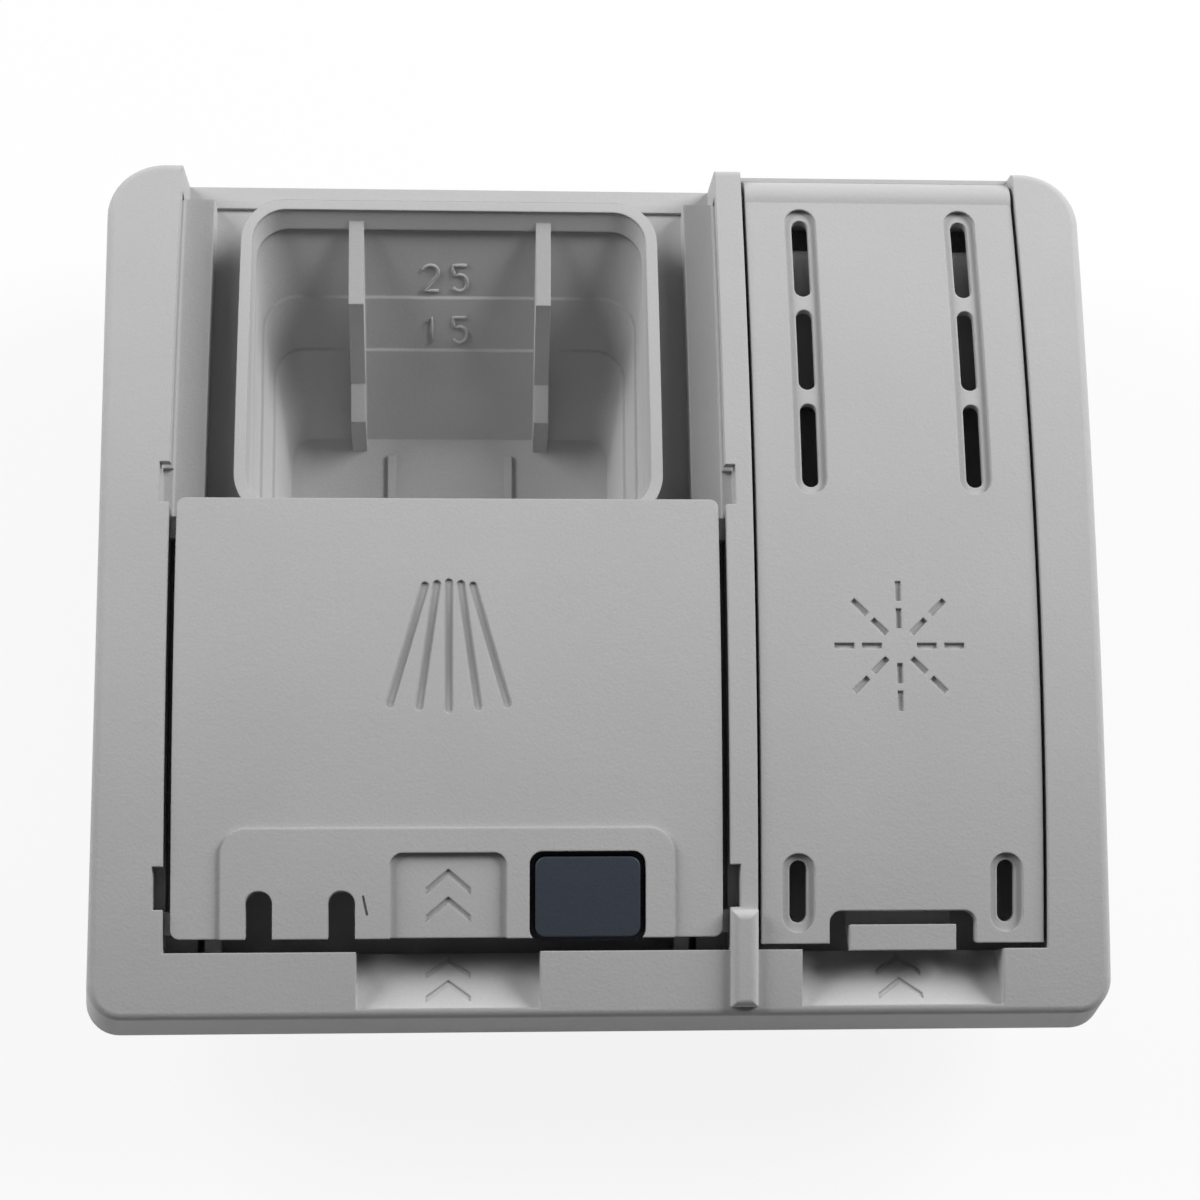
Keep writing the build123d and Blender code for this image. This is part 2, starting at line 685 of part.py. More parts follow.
def rail_grooves():
    """Side grooves for the lid's lugs with the notches where the lugs drop in."""
    v0 = arc_of(WELL_BOTTOM_Y)
    v1 = arc_of(TOP_Y - 4.0)
    cuts = []
    for wall, out in ((WELL_LEFT, -1), (WELL_RIGHT, 1)):
        x0, x1 = sorted((wall - out * 0.5, wall + out * GROOVE_DEEP))
        cuts.append(arc_slab(GROOVE_TOP, GROOVE_BOTTOM, v0, v1, x0, x1))
        for y in (NOTCH_UPPER_Y, NOTCH_LOWER_Y):
            cuts.append(block(x0, x1, y - NOTCH_LENGTH / 2, y + NOTCH_LENGTH / 2,
                              CREST_Z - GROOVE_BOTTOM - 1.5, CREST_Z + 2))
    return fused(cuts)


def snap_hook(x, y, out):
    """Flexible blade under the bezel with a barb that catches behind the door sheet."""
    top = crown_point(arc_of(y), SKIN / 2)[1]
    x0, x1 = sorted((x, x - out * HOOK_BLADE_THICK))
    blade = block(x0, x1, y - HOOK_BLADE / 2, y + HOOK_BLADE / 2, SNAP_LOW_Z, top - 0.6)
    face = make_face(Polyline(
        (x, SNAP_LOW_Z), (x + out * SNAP_BARB, SNAP_LOW_Z + 5.0),
        (x + out * SNAP_BARB, SNAP_LOW_Z + 6.2), (x, SNAP_LOW_Z + 6.8), close=True))
    barb = extrude(Plane.XZ.offset(-(y + HOOK_BLADE / 2)) * face, amount=HOOK_BLADE, dir=(0, -1, 0))
    return blade + barb


def housing():
    """Main moulding: bezel, lid well, cup, flap well and tank shell in one piece."""
    body = bezel()
    body -= lid_well_space()
    body -= flap_well_space()
    for x, width in recesses():
        body -= side_prism(recess_profile(0), x - width / 2, x + width / 2)
        for mark in chevrons_cut(recess_floor(x)):
            body -= mark
    body += foot_post()
    body += rails()
    body -= rail_grooves()
    lip = cup_space(LIP_WALL, CUP_FLOOR_Z - WALL, CREST_Z) & crown_cylinder(LIP_DROP)
    body += lip
    body -= cup_space(0, CUP_FLOOR_Z, CREST_Z)
    for step, z in ((1, MARK_LOW_Z), (2, MARK_HIGH_Z)):
        wider = cup_space(step * MARK_STEP, CUP_FLOOR_Z, CREST_Z)
        body -= wider & block(-FAR, FAR, -FAR, FAR, z, CUP_SHOULDER_Z - 2.0)
    for rib in tablet_ribs() + floor_ribs():
        body += rib
    for y in SNAP_Y:
        body += snap_hook(RIM_WIDTH / 2 - SNAP_INSET, y, 1)
        body += snap_hook(SNAP_INSET - RIM_WIDTH / 2, y, -1)
    for fitting in [shaft_boss()] + screw_bosses() + tank_fittings():
        body += fitting
    for bore in housing_bores():
        body -= bore
    return body


def shaft_boss():
    """Boss under the well floor that guides the catch shaft."""
    return rod_z(SHAFT_BOSS, LID_X, SHAFT_Y, SHAFT_BOSS_LOW, CREST_Z - WELL_DEPTH - 0.5)


def screw_places():
    """Places of the two solenoid screws."""
    return [(COIL_X, ROD_Y - YOKE_EAR - 4.0), (COIL_X, ROD_Y + YOKE_EAR + 4.0)]


def screw_bosses():
    """Bosses that hang from the well floor down to the solenoid's ears."""
    bosses = []
    for x, y in screw_places():
        top = crown_point(arc_of(y), WELL_DEPTH + WELL_FLOOR / 2)[1]
        bosses.append(rod_z(SCREW_BOSS, x, y, YOKE_LOW_Z + YOKE_THICK, top))
    return bosses


def tank_fittings():
    """Float ears, the valve spring's post and the flap's catch post on the deck."""
    parts = [block(FLAP_X - CATCH_POST_WIDTH / 2, FLAP_X + CATCH_POST_WIDTH / 2,
                   CATCH_POST_Y - CATCH_POST_THICK, CATCH_POST_Y,
                   DECK_Z - JOIN_DEPTH, DECK_Z + CATCH_POST_HIGH)]
    for x in float_ear_places():
        parts.append(block(x - EAR_THICK / 2, x + EAR_THICK / 2, FLOAT_PIN_Y - 4.0, FLOAT_PIN_Y + 4.0,
                           FLOAT_PIN_Z - 3.0, DECK_LOW_Z + 0.5))
    parts.append(block(VALVE_POST_X, VALVE_POST_X + VALVE_POST, ROD_Y - 5.0, ROD_Y + 5.0,
                       COIL_Z - 5.0, DECK_LOW_Z + 0.5))
    return parts


def float_ear_places():
    """Places along X of the two ears that carry the float's pin."""
    reach = FLOAT_WIDTH / 2 + EAR_THICK / 2 + RUN_GAP
    return [FLAP_X - reach, FLAP_X + reach]


def sensor_clips():
    """Two clip walls outside the tank that hold the level sensor."""
    x0 = TANK_RIGHT
    clips = []
    for y in (SENSOR_Y - SENSOR_LENGTH / 2 - SENSOR_CLIP, SENSOR_Y + SENSOR_LENGTH / 2):
        clips.append(block(x0 - 0.5, x0 + SENSOR_DEPTH, y, y + SENSOR_CLIP,
                           SENSOR_Z - SENSOR_HIGH / 2, SENSOR_Z + SENSOR_HIGH / 2))
    return clips


def housing_bores():
    """Bores for the flap pins, catch shaft, screws, filler, knob and float pin."""
    hinge_r = HINGE_PIN + PIN_CLEARANCE
    pin_end = HINGE_PIN_LENGTH + FLAP_GAP + 0.3
    cuts = [rod_x(hinge_r, FLAP_LEFT - pin_end, FLAP_RIGHT + pin_end, HINGE_Y, HINGE_Z)]
    cuts.append(rod_z(SHAFT_RADIUS + PIN_CLEARANCE, LID_X, SHAFT_Y, SHAFT_BOSS_LOW - 1, CREST_Z))
    cuts.append(rod_z(SHAFT_RADIUS + SHAFT_SEAL, LID_X, SHAFT_Y,
                      CREST_Z - WELL_DEPTH - SHAFT_SEAL_HIGH - 0.3, CREST_Z))
    for x, y in screw_places():
        cuts.append(rod_z(SCREW_SHANK, x, y, YOKE_LOW_Z, YOKE_LOW_Z + YOKE_THICK + SCREW_LENGTH))
    cuts.append(rod_z(FILL_RADIUS, FLAP_X, FILL_Y, DECK_LOW_Z - 1, DECK_Z + 1))
    cuts.append(rod_z(KNOB_STEM + PIN_CLEARANCE, FLAP_X, KNOB_Y, DECK_LOW_Z - 1, DECK_Z + 1))
    ears = float_ear_places()
    cuts.append(rod_x(FLOAT_PIN, ears[0] - EAR_THICK, ears[1] + EAR_THICK, FLOAT_PIN_Y, FLOAT_PIN_Z))
    return cuts


def tank_cover():
    """Tub welded under the deck: the tank's walls and back, the valve guide and the sensor's clips."""
    tub = block(TANK_LEFT, TANK_RIGHT, TANK_BOTTOM_Y, TANK_TOP_Y, 0, DECK_LOW_Z)
    tub = fillet(tub.edges().filter_by(Axis.Z), WALL)
    tub -= block(FLAP_WELL_LEFT, FLAP_WELL_RIGHT, TANK_BOTTOM_Y + WALL, TANK_TOP_Y - WALL,
                 COVER_THICK, DECK_LOW_Z + 1)
    tub -= lid_well_stock()
    for clip in sensor_clips():
        tub += clip
    guide_end = FLAP_WELL_LEFT + VALVE_GUIDE_LENGTH - WALL
    tub += rod_x(VALVE_GUIDE, FLAP_WELL_LEFT - 0.5, guide_end, ROD_Y, COIL_Z)
    return tub - rod_x(VALVE_STEM + PIN_CLEARANCE, TANK_LEFT - 1, guide_end + 1, ROD_Y, COIL_Z)


def door_gasket():
    """Soft ring behind the flange that seals against the door."""
    ring = plan_prism(rim_outline(SEAL_INSET), 0, 0, DOOR_Z - SEAL_THICK, DOOR_Z)
    inner = rim_outline(SEAL_INSET + SEAL_WIDTH)
    return ring - plan_prism(inner, 0, 0, DOOR_Z - SEAL_THICK - 1, DOOR_Z + 1)


def lid():
    """Sliding lid: curved plate, skirts, lugs, raised pad, sunk signs and under-side hooks."""
    x0 = LID_X - LID_WIDTH / 2
    x1 = LID_X + LID_WIDTH / 2
    v1 = LID_TOP
    v0 = LID_FOOT
    under = LID_DROP + LID_THICK
    plate = arc_slab(LID_DROP, under, v0, v1, x0, x1)
    corners = plate.edges().filter_by(lambda e: abs(e.length - LID_THICK) < 0.2)
    plate = fillet(corners, LID_CORNER)
    pad_y = crown_point(v0)[0] + PAD_LENGTH / 2
    pad = RectangleRounded(PAD_WIDTH, PAD_LENGTH + 2 * PAD_CORNER, PAD_CORNER)
    raised = plan_prism(pad, LID_X, pad_y - PAD_CORNER, 0, CREST_Z + OVER)
    plate += raised & arc_slab(LID_DROP - PAD_RISE, under - 0.5, v0, v1, x0, x1)
    skirt_deep = RAIL_DEPTH - RUN_GAP
    for edge, out in ((x0, -1), (x1, 1)):
        e0, e1 = sorted((edge, edge - out * SKIRT))
        plate += arc_slab(under - JOIN_DEPTH, skirt_deep, v0 + LID_CORNER, v1 - LID_CORNER, e0, e1)
        l0, l1 = sorted((edge - out * 0.4, edge + out * LUG_REACH))
        for v in (v0 + LUG_FOOT, v1 - LUG_HEAD):
            top = GROOVE_TOP + LUG_GAP
            plate += arc_slab(top, top + LUG_THICK, v, v + LUG_LENGTH, l0, l1)
        spring_x = LID_X + out * spring_offset()
        plate += arc_slab(under - JOIN_DEPTH, SPRING_DEPTH + 1.6, SPRING_LUG_V, SPRING_LUG_V + SPRING_LUG,
                          spring_x - SPRING_LUG / 2, spring_x + SPRING_LUG / 2)
    hook_x = LID_X + HOOK_SIDE
    plate += arc_slab(under - JOIN_DEPTH, HOOK_DEEP, HOOK_V - HOOK_LENGTH / 2, HOOK_V + HOOK_LENGTH / 2,
                      hook_x - HOOK_WIDTH / 2, hook_x + HOOK_WIDTH / 2)
    plate -= button_shape(BUTTON_GAP, OVER, BUTTON_HIGH + 1)
    for offset in PAD_SLOT_OFFSETS:
        slot = RectangleRounded(PAD_SLOT_WIDTH, 2 * PAD_SLOT_LENGTH, PAD_SLOT_WIDTH / 2 - 0.1)
        plate -= plan_prism(slot, LID_X + offset, crown_point(v0)[0], CREST_Z - 10, CREST_Z + OVER)
    pocket = RectangleRounded(PAD_POCKET_WIDTH, 2 * PAD_POCKET_LENGTH, PAD_CORNER / 2)
    pocket = plan_prism(pocket, LID_X, crown_point(v0)[0], 0, CREST_Z + OVER)
    sunk = LID_DROP - PAD_RISE + PAD_POCKET_DEEP
    plate -= pocket - crown_cylinder(sunk)
    marks = chevrons_cut(tangent_plane(v0 + PAD_POCKET_LENGTH / 2, LID_X, sunk))
    for groove in marks + spray_sign():
        plate -= groove
    return plate


def spray_sign():
    """Five fanned grooves sunk into the lid."""
    cuts = []
    for i in range(-2, 3):
        top = Vector(i * SPRAY_TOP_PITCH, SPRAY_LENGTH / 2 - 0.25 * abs(i))
        low = Vector(i * SPRAY_BOTTOM_PITCH, -SPRAY_LENGTH / 2 + 0.4 * abs(i))
        groove = SlotCenterToCenter((top - low).length, SPRAY_WIDTH)
        turn = Vector(1, 0).get_signed_angle(top - low, Vector(0, 0, 1))
        middle = (top + low) / 2
        plane = tangent_plane(SPRAY_TOP - SPRAY_LENGTH / 2, LID_X, LID_DROP)
        place = plane * Pos(middle.X, middle.Y) * Rot(0, 0, turn)
        cuts.append(extrude(place * groove, amount=SIGN_DEEP, both=True))
    return cuts


def spring_offset():
    """Distance of each lid spring from the lid's middle: the channel beside the cup's lip."""
    lip = CUP_WIDTH / 2 + LIP_WALL
    channel = WELL_WIDTH / 2 - RAIL_WIDTH
    return (lip + channel) / 2


def button_shape(grow, high, deep):
    """Upright prism of the button in the plane that touches the lid there."""
    plane = tangent_plane(BUTTON_V, BUTTON_X, LID_DROP)
    width = BUTTON_WIDTH + 2 * grow
    length = BUTTON_LENGTH + 2 * grow
    outline = RectangleRounded(width, length, BUTTON_CORNER + grow * 0.5)
    return extrude(plane.offset(-deep) * outline, amount=high + deep)


def release_button():
    """Press button with a retaining flange under the lid."""
    body = button_shape(0, OVER, BUTTON_HIGH) & crown_cylinder(LID_DROP - PAD_RISE)
    flange = button_shape(BUTTON_FLANGE, BUTTON_FLANGE_THICK - BUTTON_HIGH, BUTTON_HIGH)
    return body + flange


def button_retainer():
    """Bridge under the lid that carries the button's spring."""
    plane = tangent_plane(BUTTON_V, BUTTON_X, LID_DROP)
    half = BUTTON_WIDTH / 2 + BUTTON_FLANGE + BUTTON_GAP
    deep = RETAINER_DEEP - RETAINER_THICK - LID_DROP
    strap = Rectangle(2 * half + 2 * SKIRT, RETAINER_LENGTH)
    bridge = extrude(plane.offset(-deep - RETAINER_THICK) * strap, amount=RETAINER_THICK)
    for side in (-1, 1):
        leg = Pos(side * (half + SKIRT / 2), 0) * Rectangle(SKIRT, RETAINER_LENGTH)
        bridge += extrude(plane.offset(-deep - RETAINER_THICK) * leg, amount=deep + RETAINER_THICK)
    return bridge & crown_cylinder(LID_DROP + LID_THICK)


def button_spring():
    """Small compression spring between the bridge and the button."""
    deep = RETAINER_DEEP - RETAINER_THICK - LID_DROP
    length = deep - BUTTON_HIGH - 2 * BUTTON_WIRE_R
    plane = tangent_plane(BUTTON_V, BUTTON_X, LID_DROP).offset(-deep + BUTTON_WIRE_R)
    return plane * coil(BUTTON_SPRING_R, BUTTON_WIRE_R, length, 3)


def flap():
    """Rinse aid flap: curved plate, hinge barrel, skirts, slots, star sign and latch ears."""
    plate = arc_slab(LID_DROP, LID_DROP + FLAP_THICK, FLAP_BOTTOM, FLAP_TOP, FLAP_LEFT, FLAP_RIGHT)
    barrel = rod_x(HINGE_BARREL, FLAP_LEFT, FLAP_RIGHT, HINGE_Y, HINGE_Z)
    relief = block(FLAP_LEFT + 3, FLAP_RIGHT - 3, HINGE_Y - 1.5, HINGE_Y + 1.5,
                   HINGE_Z - HINGE_BARREL - 1, HINGE_Z)
    plate += barrel - relief
    plate += rod_x(HINGE_PIN, FLAP_LEFT - FLAP_GAP - HINGE_PIN_LENGTH,
                   FLAP_RIGHT + FLAP_GAP + HINGE_PIN_LENGTH, HINGE_Y, HINGE_Z)
    under = LID_DROP + FLAP_THICK
    for edge, out in ((FLAP_LEFT, -1), (FLAP_RIGHT, 1)):
        e0, e1 = sorted((edge, edge - out * SKIRT))
        plate += arc_slab(under - JOIN_DEPTH, FLAP_SKIRT_DEEP, FLAP_BOTTOM + 1.0, FLAP_TOP - 1.0, e0, e1)
    stem_top = crown_point(arc_of(FILL_Y), under - JOIN_DEPTH)[1]
    stem = rod_z(PLUG_STEM, FLAP_X, FILL_Y, plug_top(), stem_top)
    plate += stem - rod_z(PLUG_STEM - PLUG_STEM_WALL, FLAP_X, FILL_Y, plug_top() - 1, stem_top - 1.0)
    for side in (-1, 1):
        x = FLAP_X + side * (LATCH_WIDTH / 2 + LATCH_EAR_GAP + LATCH_EAR / 2)
        ear_top = crown_point(arc_of(LATCH_PIVOT_Y), under - JOIN_DEPTH)[1]
        ear = block(x - LATCH_EAR / 2, x + LATCH_EAR / 2,
                    LATCH_PIVOT_Y - LATCH_EAR_HALF, LATCH_PIVOT_Y + LATCH_EAR_HALF,
                    LATCH_PIVOT_Z - LATCH_EAR_LOW, ear_top)
        plate += ear
        plate -= rod_x(LATCH_PIN + PIN_CLEARANCE, x - LATCH_EAR, x + LATCH_EAR,
                       LATCH_PIVOT_Y, LATCH_PIVOT_Z)
    notch = RectangleRounded(TAB_NOTCH_WIDTH, 2 * TAB_NOTCH_LENGTH, TAB_NOTCH_CORNER)
    plate -= plan_prism(notch, FLAP_X, crown_point(FLAP_BOTTOM)[0], LATCH_PIVOT_Z - 1, CREST_Z + OVER)
    for cut in flap_slots() + star_sign():
        plate -= cut
    return plate


def plug_top():
    """Height of the seat of the flap's seal."""
    return DECK_Z + FUNNEL_FLANGE_THICK + PLUG_GAP + PLUG_THICK


def flap_slots():
    """Two rows of three long slots in shallow troughs, and two short slots below."""
    cuts = []
    rows = []
    for side in (-1, 1):
        for i in range(3):
            rows.append((side * SLOT_SPREAD / 2, SLOT_FIRST - i * SLOT_PITCH, SLOT_LENGTH))
        rows.append((side * LOW_SLOT_SPREAD / 2, LOW_SLOT_V, LOW_SLOT_LENGTH))
    for x, v, length in rows:
        plane = tangent_plane(v, FLAP_X + x, LID_DROP)
        slot = plane * SlotOverall(length, SLOT_WIDTH, rotation=90)
        cuts.append(extrude(slot, amount=FLAP_THICK + 2, both=True))
    long_trough = 2 * SLOT_PITCH + SLOT_LENGTH + SLOT_TROUGH - SLOT_WIDTH
    for side in (-1, 1):
        for spread, v, length in (
                (SLOT_SPREAD, SLOT_FIRST - SLOT_PITCH, long_trough),
                (LOW_SLOT_SPREAD, LOW_SLOT_V, LOW_SLOT_LENGTH + SLOT_TROUGH - SLOT_WIDTH)):
            outline = SlotOverall(length, SLOT_TROUGH, rotation=90)
            y = crown_point(v)[0]
            trough = plan_prism(outline, FLAP_X + side * spread / 2, y, DECK_Z, CREST_Z + OVER)
            cuts.append(trough - crown_cylinder(LID_DROP + SLOT_TROUGH_DEEP))
    return cuts


def star_sign():
    """Eight rays of two dashes each, sunk into the flap."""
    cuts = []
    plane = tangent_plane(STAR_V, FLAP_X, LID_DROP)
    for turn in range(0, 360, 45):
        for step in (0, 1):
            reach = STAR_INNER + step * (STAR_DASH + STAR_SPACE) + STAR_DASH / 2
            dash = Rot(0, 0, turn) * Pos(reach, 0) * Rectangle(STAR_DASH, STAR_WIDTH)
            cuts.append(extrude(plane * dash, amount=SIGN_DEEP, both=True))
    return cuts


def flap_seal():
    """Soft plug under the flap that closes the filler."""
    low = DECK_Z + FUNNEL_FLANGE_THICK + PLUG_GAP
    disc = rod_z(PLUG_RADIUS, FLAP_X, FILL_Y, low, low + PLUG_THICK)
    groove = rod_z(PLUG_RADIUS + 1, FLAP_X, FILL_Y, low + 1.1, low + 1.9)
    groove -= rod_z(PLUG_RADIUS - 1.2, FLAP_X, FILL_Y, low, low + PLUG_THICK)
    return disc - groove


def flap_latch():
    """Latch under the flap: pull tab, pivot and hook."""
    x0 = FLAP_X - LATCH_WIDTH / 2
    x1 = FLAP_X + LATCH_WIDTH / 2
    low = LATCH_PIVOT_Z - LATCH_BARREL
    back = TAB_END_Y + TAB_FACE
    arm = [
        (LATCH_PIVOT_Y, low + TAB_THICK), (LATCH_PIVOT_Y, low),
        (TAB_END_Y + TAB_UNDERCUT, low), (TAB_END_Y, TAB_END_Z - TAB_THICK),
        (TAB_END_Y, TAB_END_Z), (back, face_z(back) - TAB_DROP), (back, low + TAB_THICK),
    ]
    body = side_prism(arm, x0, x1)
    body += rod_x(LATCH_BARREL, x0, x1, LATCH_PIVOT_Y, LATCH_PIVOT_Z)
    body += rod_x(LATCH_PIN, x0 - LATCH_EAR_GAP - LATCH_EAR, x1 + LATCH_EAR_GAP + LATCH_EAR,
                  LATCH_PIVOT_Y, LATCH_PIVOT_Z)
    post = CATCH_POST_Y - CATCH_POST_THICK
    near = post - NOSE_GAP
    far = near - NOSE_THICK
    nose = [
        (near, low + NOSE_ROOT), (near, DECK_Z + NOSE_TOP), (post - RUN_GAP, DECK_Z + NOSE_TIP_TOP),
        (post - RUN_GAP, DECK_Z + NOSE_TIP_LOW), (far, DECK_Z + NOSE_LOW), (far, low + NOSE_ROOT),
    ]
    return body + side_prism(nose, FLAP_X - CATCH_POST_WIDTH / 2, FLAP_X + CATCH_POST_WIDTH / 2)


def fill_funnel():
    """Insert in the filler: flange, tube and a spoked strainer."""
    body = rod_z(FUNNEL_FLANGE, FLAP_X, FILL_Y, DECK_Z, DECK_Z + FUNNEL_FLANGE_THICK)
    body += rod_z(FILL_RADIUS - PIN_CLEARANCE, FLAP_X, FILL_Y, DECK_Z - FUNNEL_LENGTH, DECK_Z + 0.2)
    bore = FILL_RADIUS - PIN_CLEARANCE - FUNNEL_WALL
    body -= rod_z(bore, FLAP_X, FILL_Y, DECK_Z - FUNNEL_LENGTH - 1, DECK_Z + 3)
    for turn in range(0, 180, 60):
        spoke = Pos(FLAP_X, FILL_Y, DECK_Z - FUNNEL_LENGTH + 0.6) * Rot(0, 0, turn)
        body += spoke * Box(2 * bore + 1, FUNNEL_WALL, 1.2)
    return body


def dosing_knob():
    """Dial with a finger grip that sets the dose, on a stem through the deck."""
    low = DECK_Z + KNOB_GAP
    body = rod_z(KNOB_RADIUS, FLAP_X, KNOB_Y, low, low + KNOB_HIGH)
    body = chamfer(body.edges().group_by(Axis.Z)[-1], KNOB_CHAMFER)
    half = KNOB_RADIUS - KNOB_WALL / 2
    grip_low = low + KNOB_HIGH - KNOB_GRIP_HIGH
    grip = block(FLAP_X - KNOB_GRIP / 2, FLAP_X + KNOB_GRIP / 2, KNOB_Y - half, KNOB_Y + half,
                 grip_low, low + KNOB_HIGH + 1)
    ring = rod_z(KNOB_RADIUS - KNOB_WALL, FLAP_X, KNOB_Y, grip_low, low + KNOB_HIGH + 1)
    body -= ring - grip
    body += rod_z(KNOB_STEM, FLAP_X, KNOB_Y, DECK_LOW_Z - KNOB_STEM_LENGTH, low + 0.5)
    return body


def knob_seal():
    """Snap ring under the deck that keeps the dial's stem in place."""
    top = DECK_LOW_Z - KNOB_GAP
    ring = rod_z(KNOB_STEM + KNOB_RING_WALL, FLAP_X, KNOB_Y, top - KNOB_RING_THICK, top)
    return ring - rod_z(KNOB_STEM, FLAP_X, KNOB_Y, top - 3, top + 1)


def float_body():
    """Float block on its arm and hub."""
    hub = rod_x(FLOAT_HUB, FLAP_X - FLOAT_WIDTH / 2, FLAP_X + FLOAT_WIDTH / 2, FLOAT_PIN_Y, FLOAT_PIN_Z)
    far = FLOAT_PIN_Y - FLOAT_REACH
    low = FLOAT_PIN_Z - FLOAT_HUB
    arm = block(FLAP_X - FLOAT_ARM / 2, FLAP_X + FLOAT_ARM / 2, far + FLOAT_LENGTH - 1, FLOAT_PIN_Y,
                low, low + FLOAT_ARM_THICK)
    shell = block(FLAP_X - FLOAT_WIDTH / 2, FLAP_X + FLOAT_WIDTH / 2, far, far + FLOAT_LENGTH,
                  low, low + FLOAT_THICK)
    shell = fillet(shell.edges().filter_by(Axis.Z), FLOAT_CORNER)
    body = shell + arm + hub
    body -= rod_x(FLOAT_PIN + PIN_CLEARANCE, FLAP_X - FLOAT_WIDTH, FLAP_X + FLOAT_WIDTH,
                  FLOAT_PIN_Y, FLOAT_PIN_Z)
    return body - magnet_space()


def magnet_space():
    """Round pocket in the float's side that takes the magnet."""
    x = FLAP_X + FLOAT_WIDTH / 2
    return rod_x(MAGNET_RADIUS, x - MAGNET_LENGTH, x, FLOAT_PIN_Y - FLOAT_REACH + FLOAT_LENGTH / 2,
                 FLOAT_PIN_Z - FLOAT_HUB + FLOAT_THICK / 2)


def float_pin():
    """Steel pin in the two ears of the tank."""
    ears = float_ear_places()
    return rod_x(FLOAT_PIN, ears[0] - EAR_THICK / 2, ears[1] + EAR_THICK / 2, FLOAT_PIN_Y, FLOAT_PIN_Z)


def level_sensor():
    """Reed switch block held by the clips on the tank's wall."""
    x0 = TANK_RIGHT
    body = block(x0, x0 + SENSOR_DEPTH, SENSOR_Y - SENSOR_LENGTH / 2, SENSOR_Y + SENSOR_LENGTH / 2,
                 SENSOR_Z - SENSOR_HIGH / 2, SENSOR_Z + SENSOR_HIGH / 2)
    return chamfer(body.edges().filter_by(Axis.Z).group_by(Axis.X)[-1], SENSOR_CHAMFER)


def sensor_terminals():
    """Two flat tabs on the back of the level sensor."""
    x = TANK_RIGHT + SENSOR_DEPTH / 2
    low = SENSOR_Z - SENSOR_HIGH / 2
    tabs = []
    for y in (SENSOR_Y - SENSOR_TABS / 2, SENSOR_Y + SENSOR_TABS / 2):
        tabs.append(block(x - TAB_METAL / 2, x + TAB_METAL / 2, y - TAB_WIDE / 2, y + TAB_WIDE / 2,
                          low - SENSOR_TAB_LONG, low))
    return Compound(children=tabs)


def catch_shaft():
    """Shaft through the well floor with the finger that holds the lid shut."""
    floor_z = CREST_Z - WELL_DEPTH
    low = floor_z + FINGER_LIFT
    top = low + FINGER_HIGH
    shaft = rod_z(SHAFT_RADIUS, LID_X, SHAFT_Y, CRANK_Z - SHAFT_END, top)
    finger = block(LID_X - FINGER_WIDTH / 2, LID_X + FINGER_WIDTH / 2, SHAFT_Y,
                   SHAFT_Y + FINGER_LENGTH, low, top)
    finger = fillet(finger.edges().filter_by(Axis.Z).group_by(Axis.Y)[-1], FINGER_ROUND)
    hub = rod_z(CATCH_HUB, LID_X, SHAFT_Y, low, top)
    return shaft + finger + hub


def crank_arm():
    """Arm on the shaft's lower end with an open fork for the armature's pin."""
    length = CRANK_ARM + CRANK_OVERHANG
    arm = Pos(0, -length / 2) * Rot(0, 0, 90) * SlotCenterToCenter(length, CRANK_WIDTH)
    fork_start = SHAFT_Y - ROD_Y - ROD_PIN - RUN_GAP
    fork = Pos(0, -fork_start - CRANK_ARM / 2) * Rectangle(2 * (ROD_PIN + RUN_GAP), CRANK_ARM)
    place = Pos(LID_X, SHAFT_Y, CRANK_Z) * Rot(0, 0, CATCH_TURN / 2)
    body = extrude(place * (arm - fork), amount=CRANK_THICK)
    body += rod_z(SHAFT_RADIUS + CRANK_HUB_WALL, LID_X, SHAFT_Y, CRANK_Z, SHAFT_BOSS_LOW - RUN_GAP)
    return body - rod_z(SHAFT_RADIUS, LID_X, SHAFT_Y, CRANK_Z - 2, SHAFT_BOSS_LOW + 1)


def crank_clip():
    """Retaining ring under the crank."""
    ring = rod_z(SHAFT_RADIUS + CLIP_WALL, LID_X, SHAFT_Y, CRANK_Z - CLIP_THICK, CRANK_Z)
    ring -= rod_z(SHAFT_RADIUS, LID_X, SHAFT_Y, CRANK_Z - 2, CRANK_Z + 1)
    mouth = block(LID_X - CLIP_MOUTH / 2, LID_X + CLIP_MOUTH / 2, SHAFT_Y, SHAFT_Y + FAR,
                  CRANK_Z - CLIP_THICK - 1, CRANK_Z + 1)
    return ring - mouth


def shaft_seal():
    """Soft ring in the well floor round the catch shaft."""
    top = CREST_Z - WELL_DEPTH
    low = top - SHAFT_SEAL_HIGH - SHAFT_SEAL_BITE
    ring = rod_z(SHAFT_RADIUS + SHAFT_SEAL, LID_X, SHAFT_Y, low, top - SHAFT_SEAL_SINK)
    return ring - rod_z(SHAFT_RADIUS + PIN_CLEARANCE, LID_X, SHAFT_Y, 0, CREST_Z)


def coil_ends():
    """Places along X of the two ends of the winding."""
    return COIL_X - COIL_LENGTH / 2, COIL_X + COIL_LENGTH / 2


def coil_bobbin():
    """Bobbin with square flanges and a terminal block."""
    x0, x1 = coil_ends()
    thick = BOBBIN_FLANGE_THICK
    body = rod_x(BOBBIN_BORE + BOBBIN_WALL, x0 - thick, x1 + thick, ROD_Y, COIL_Z)
    half = BOBBIN_FLANGE / 2
    for x in (x0 - thick, x1):
        body += block(x, x + thick, ROD_Y - half, ROD_Y + half, COIL_Z - half, COIL_Z + half)
    body += block(x0 - thick, x0 + TERMINAL_BLOCK, ROD_Y - half - TERMINAL_DEEP, ROD_Y - half,
                  COIL_Z - TERMINAL_HIGH / 2, COIL_Z + TERMINAL_HIGH / 2)
    return body - rod_x(BOBBIN_BORE, x0 - 5, x1 + 5, ROD_Y, COIL_Z)


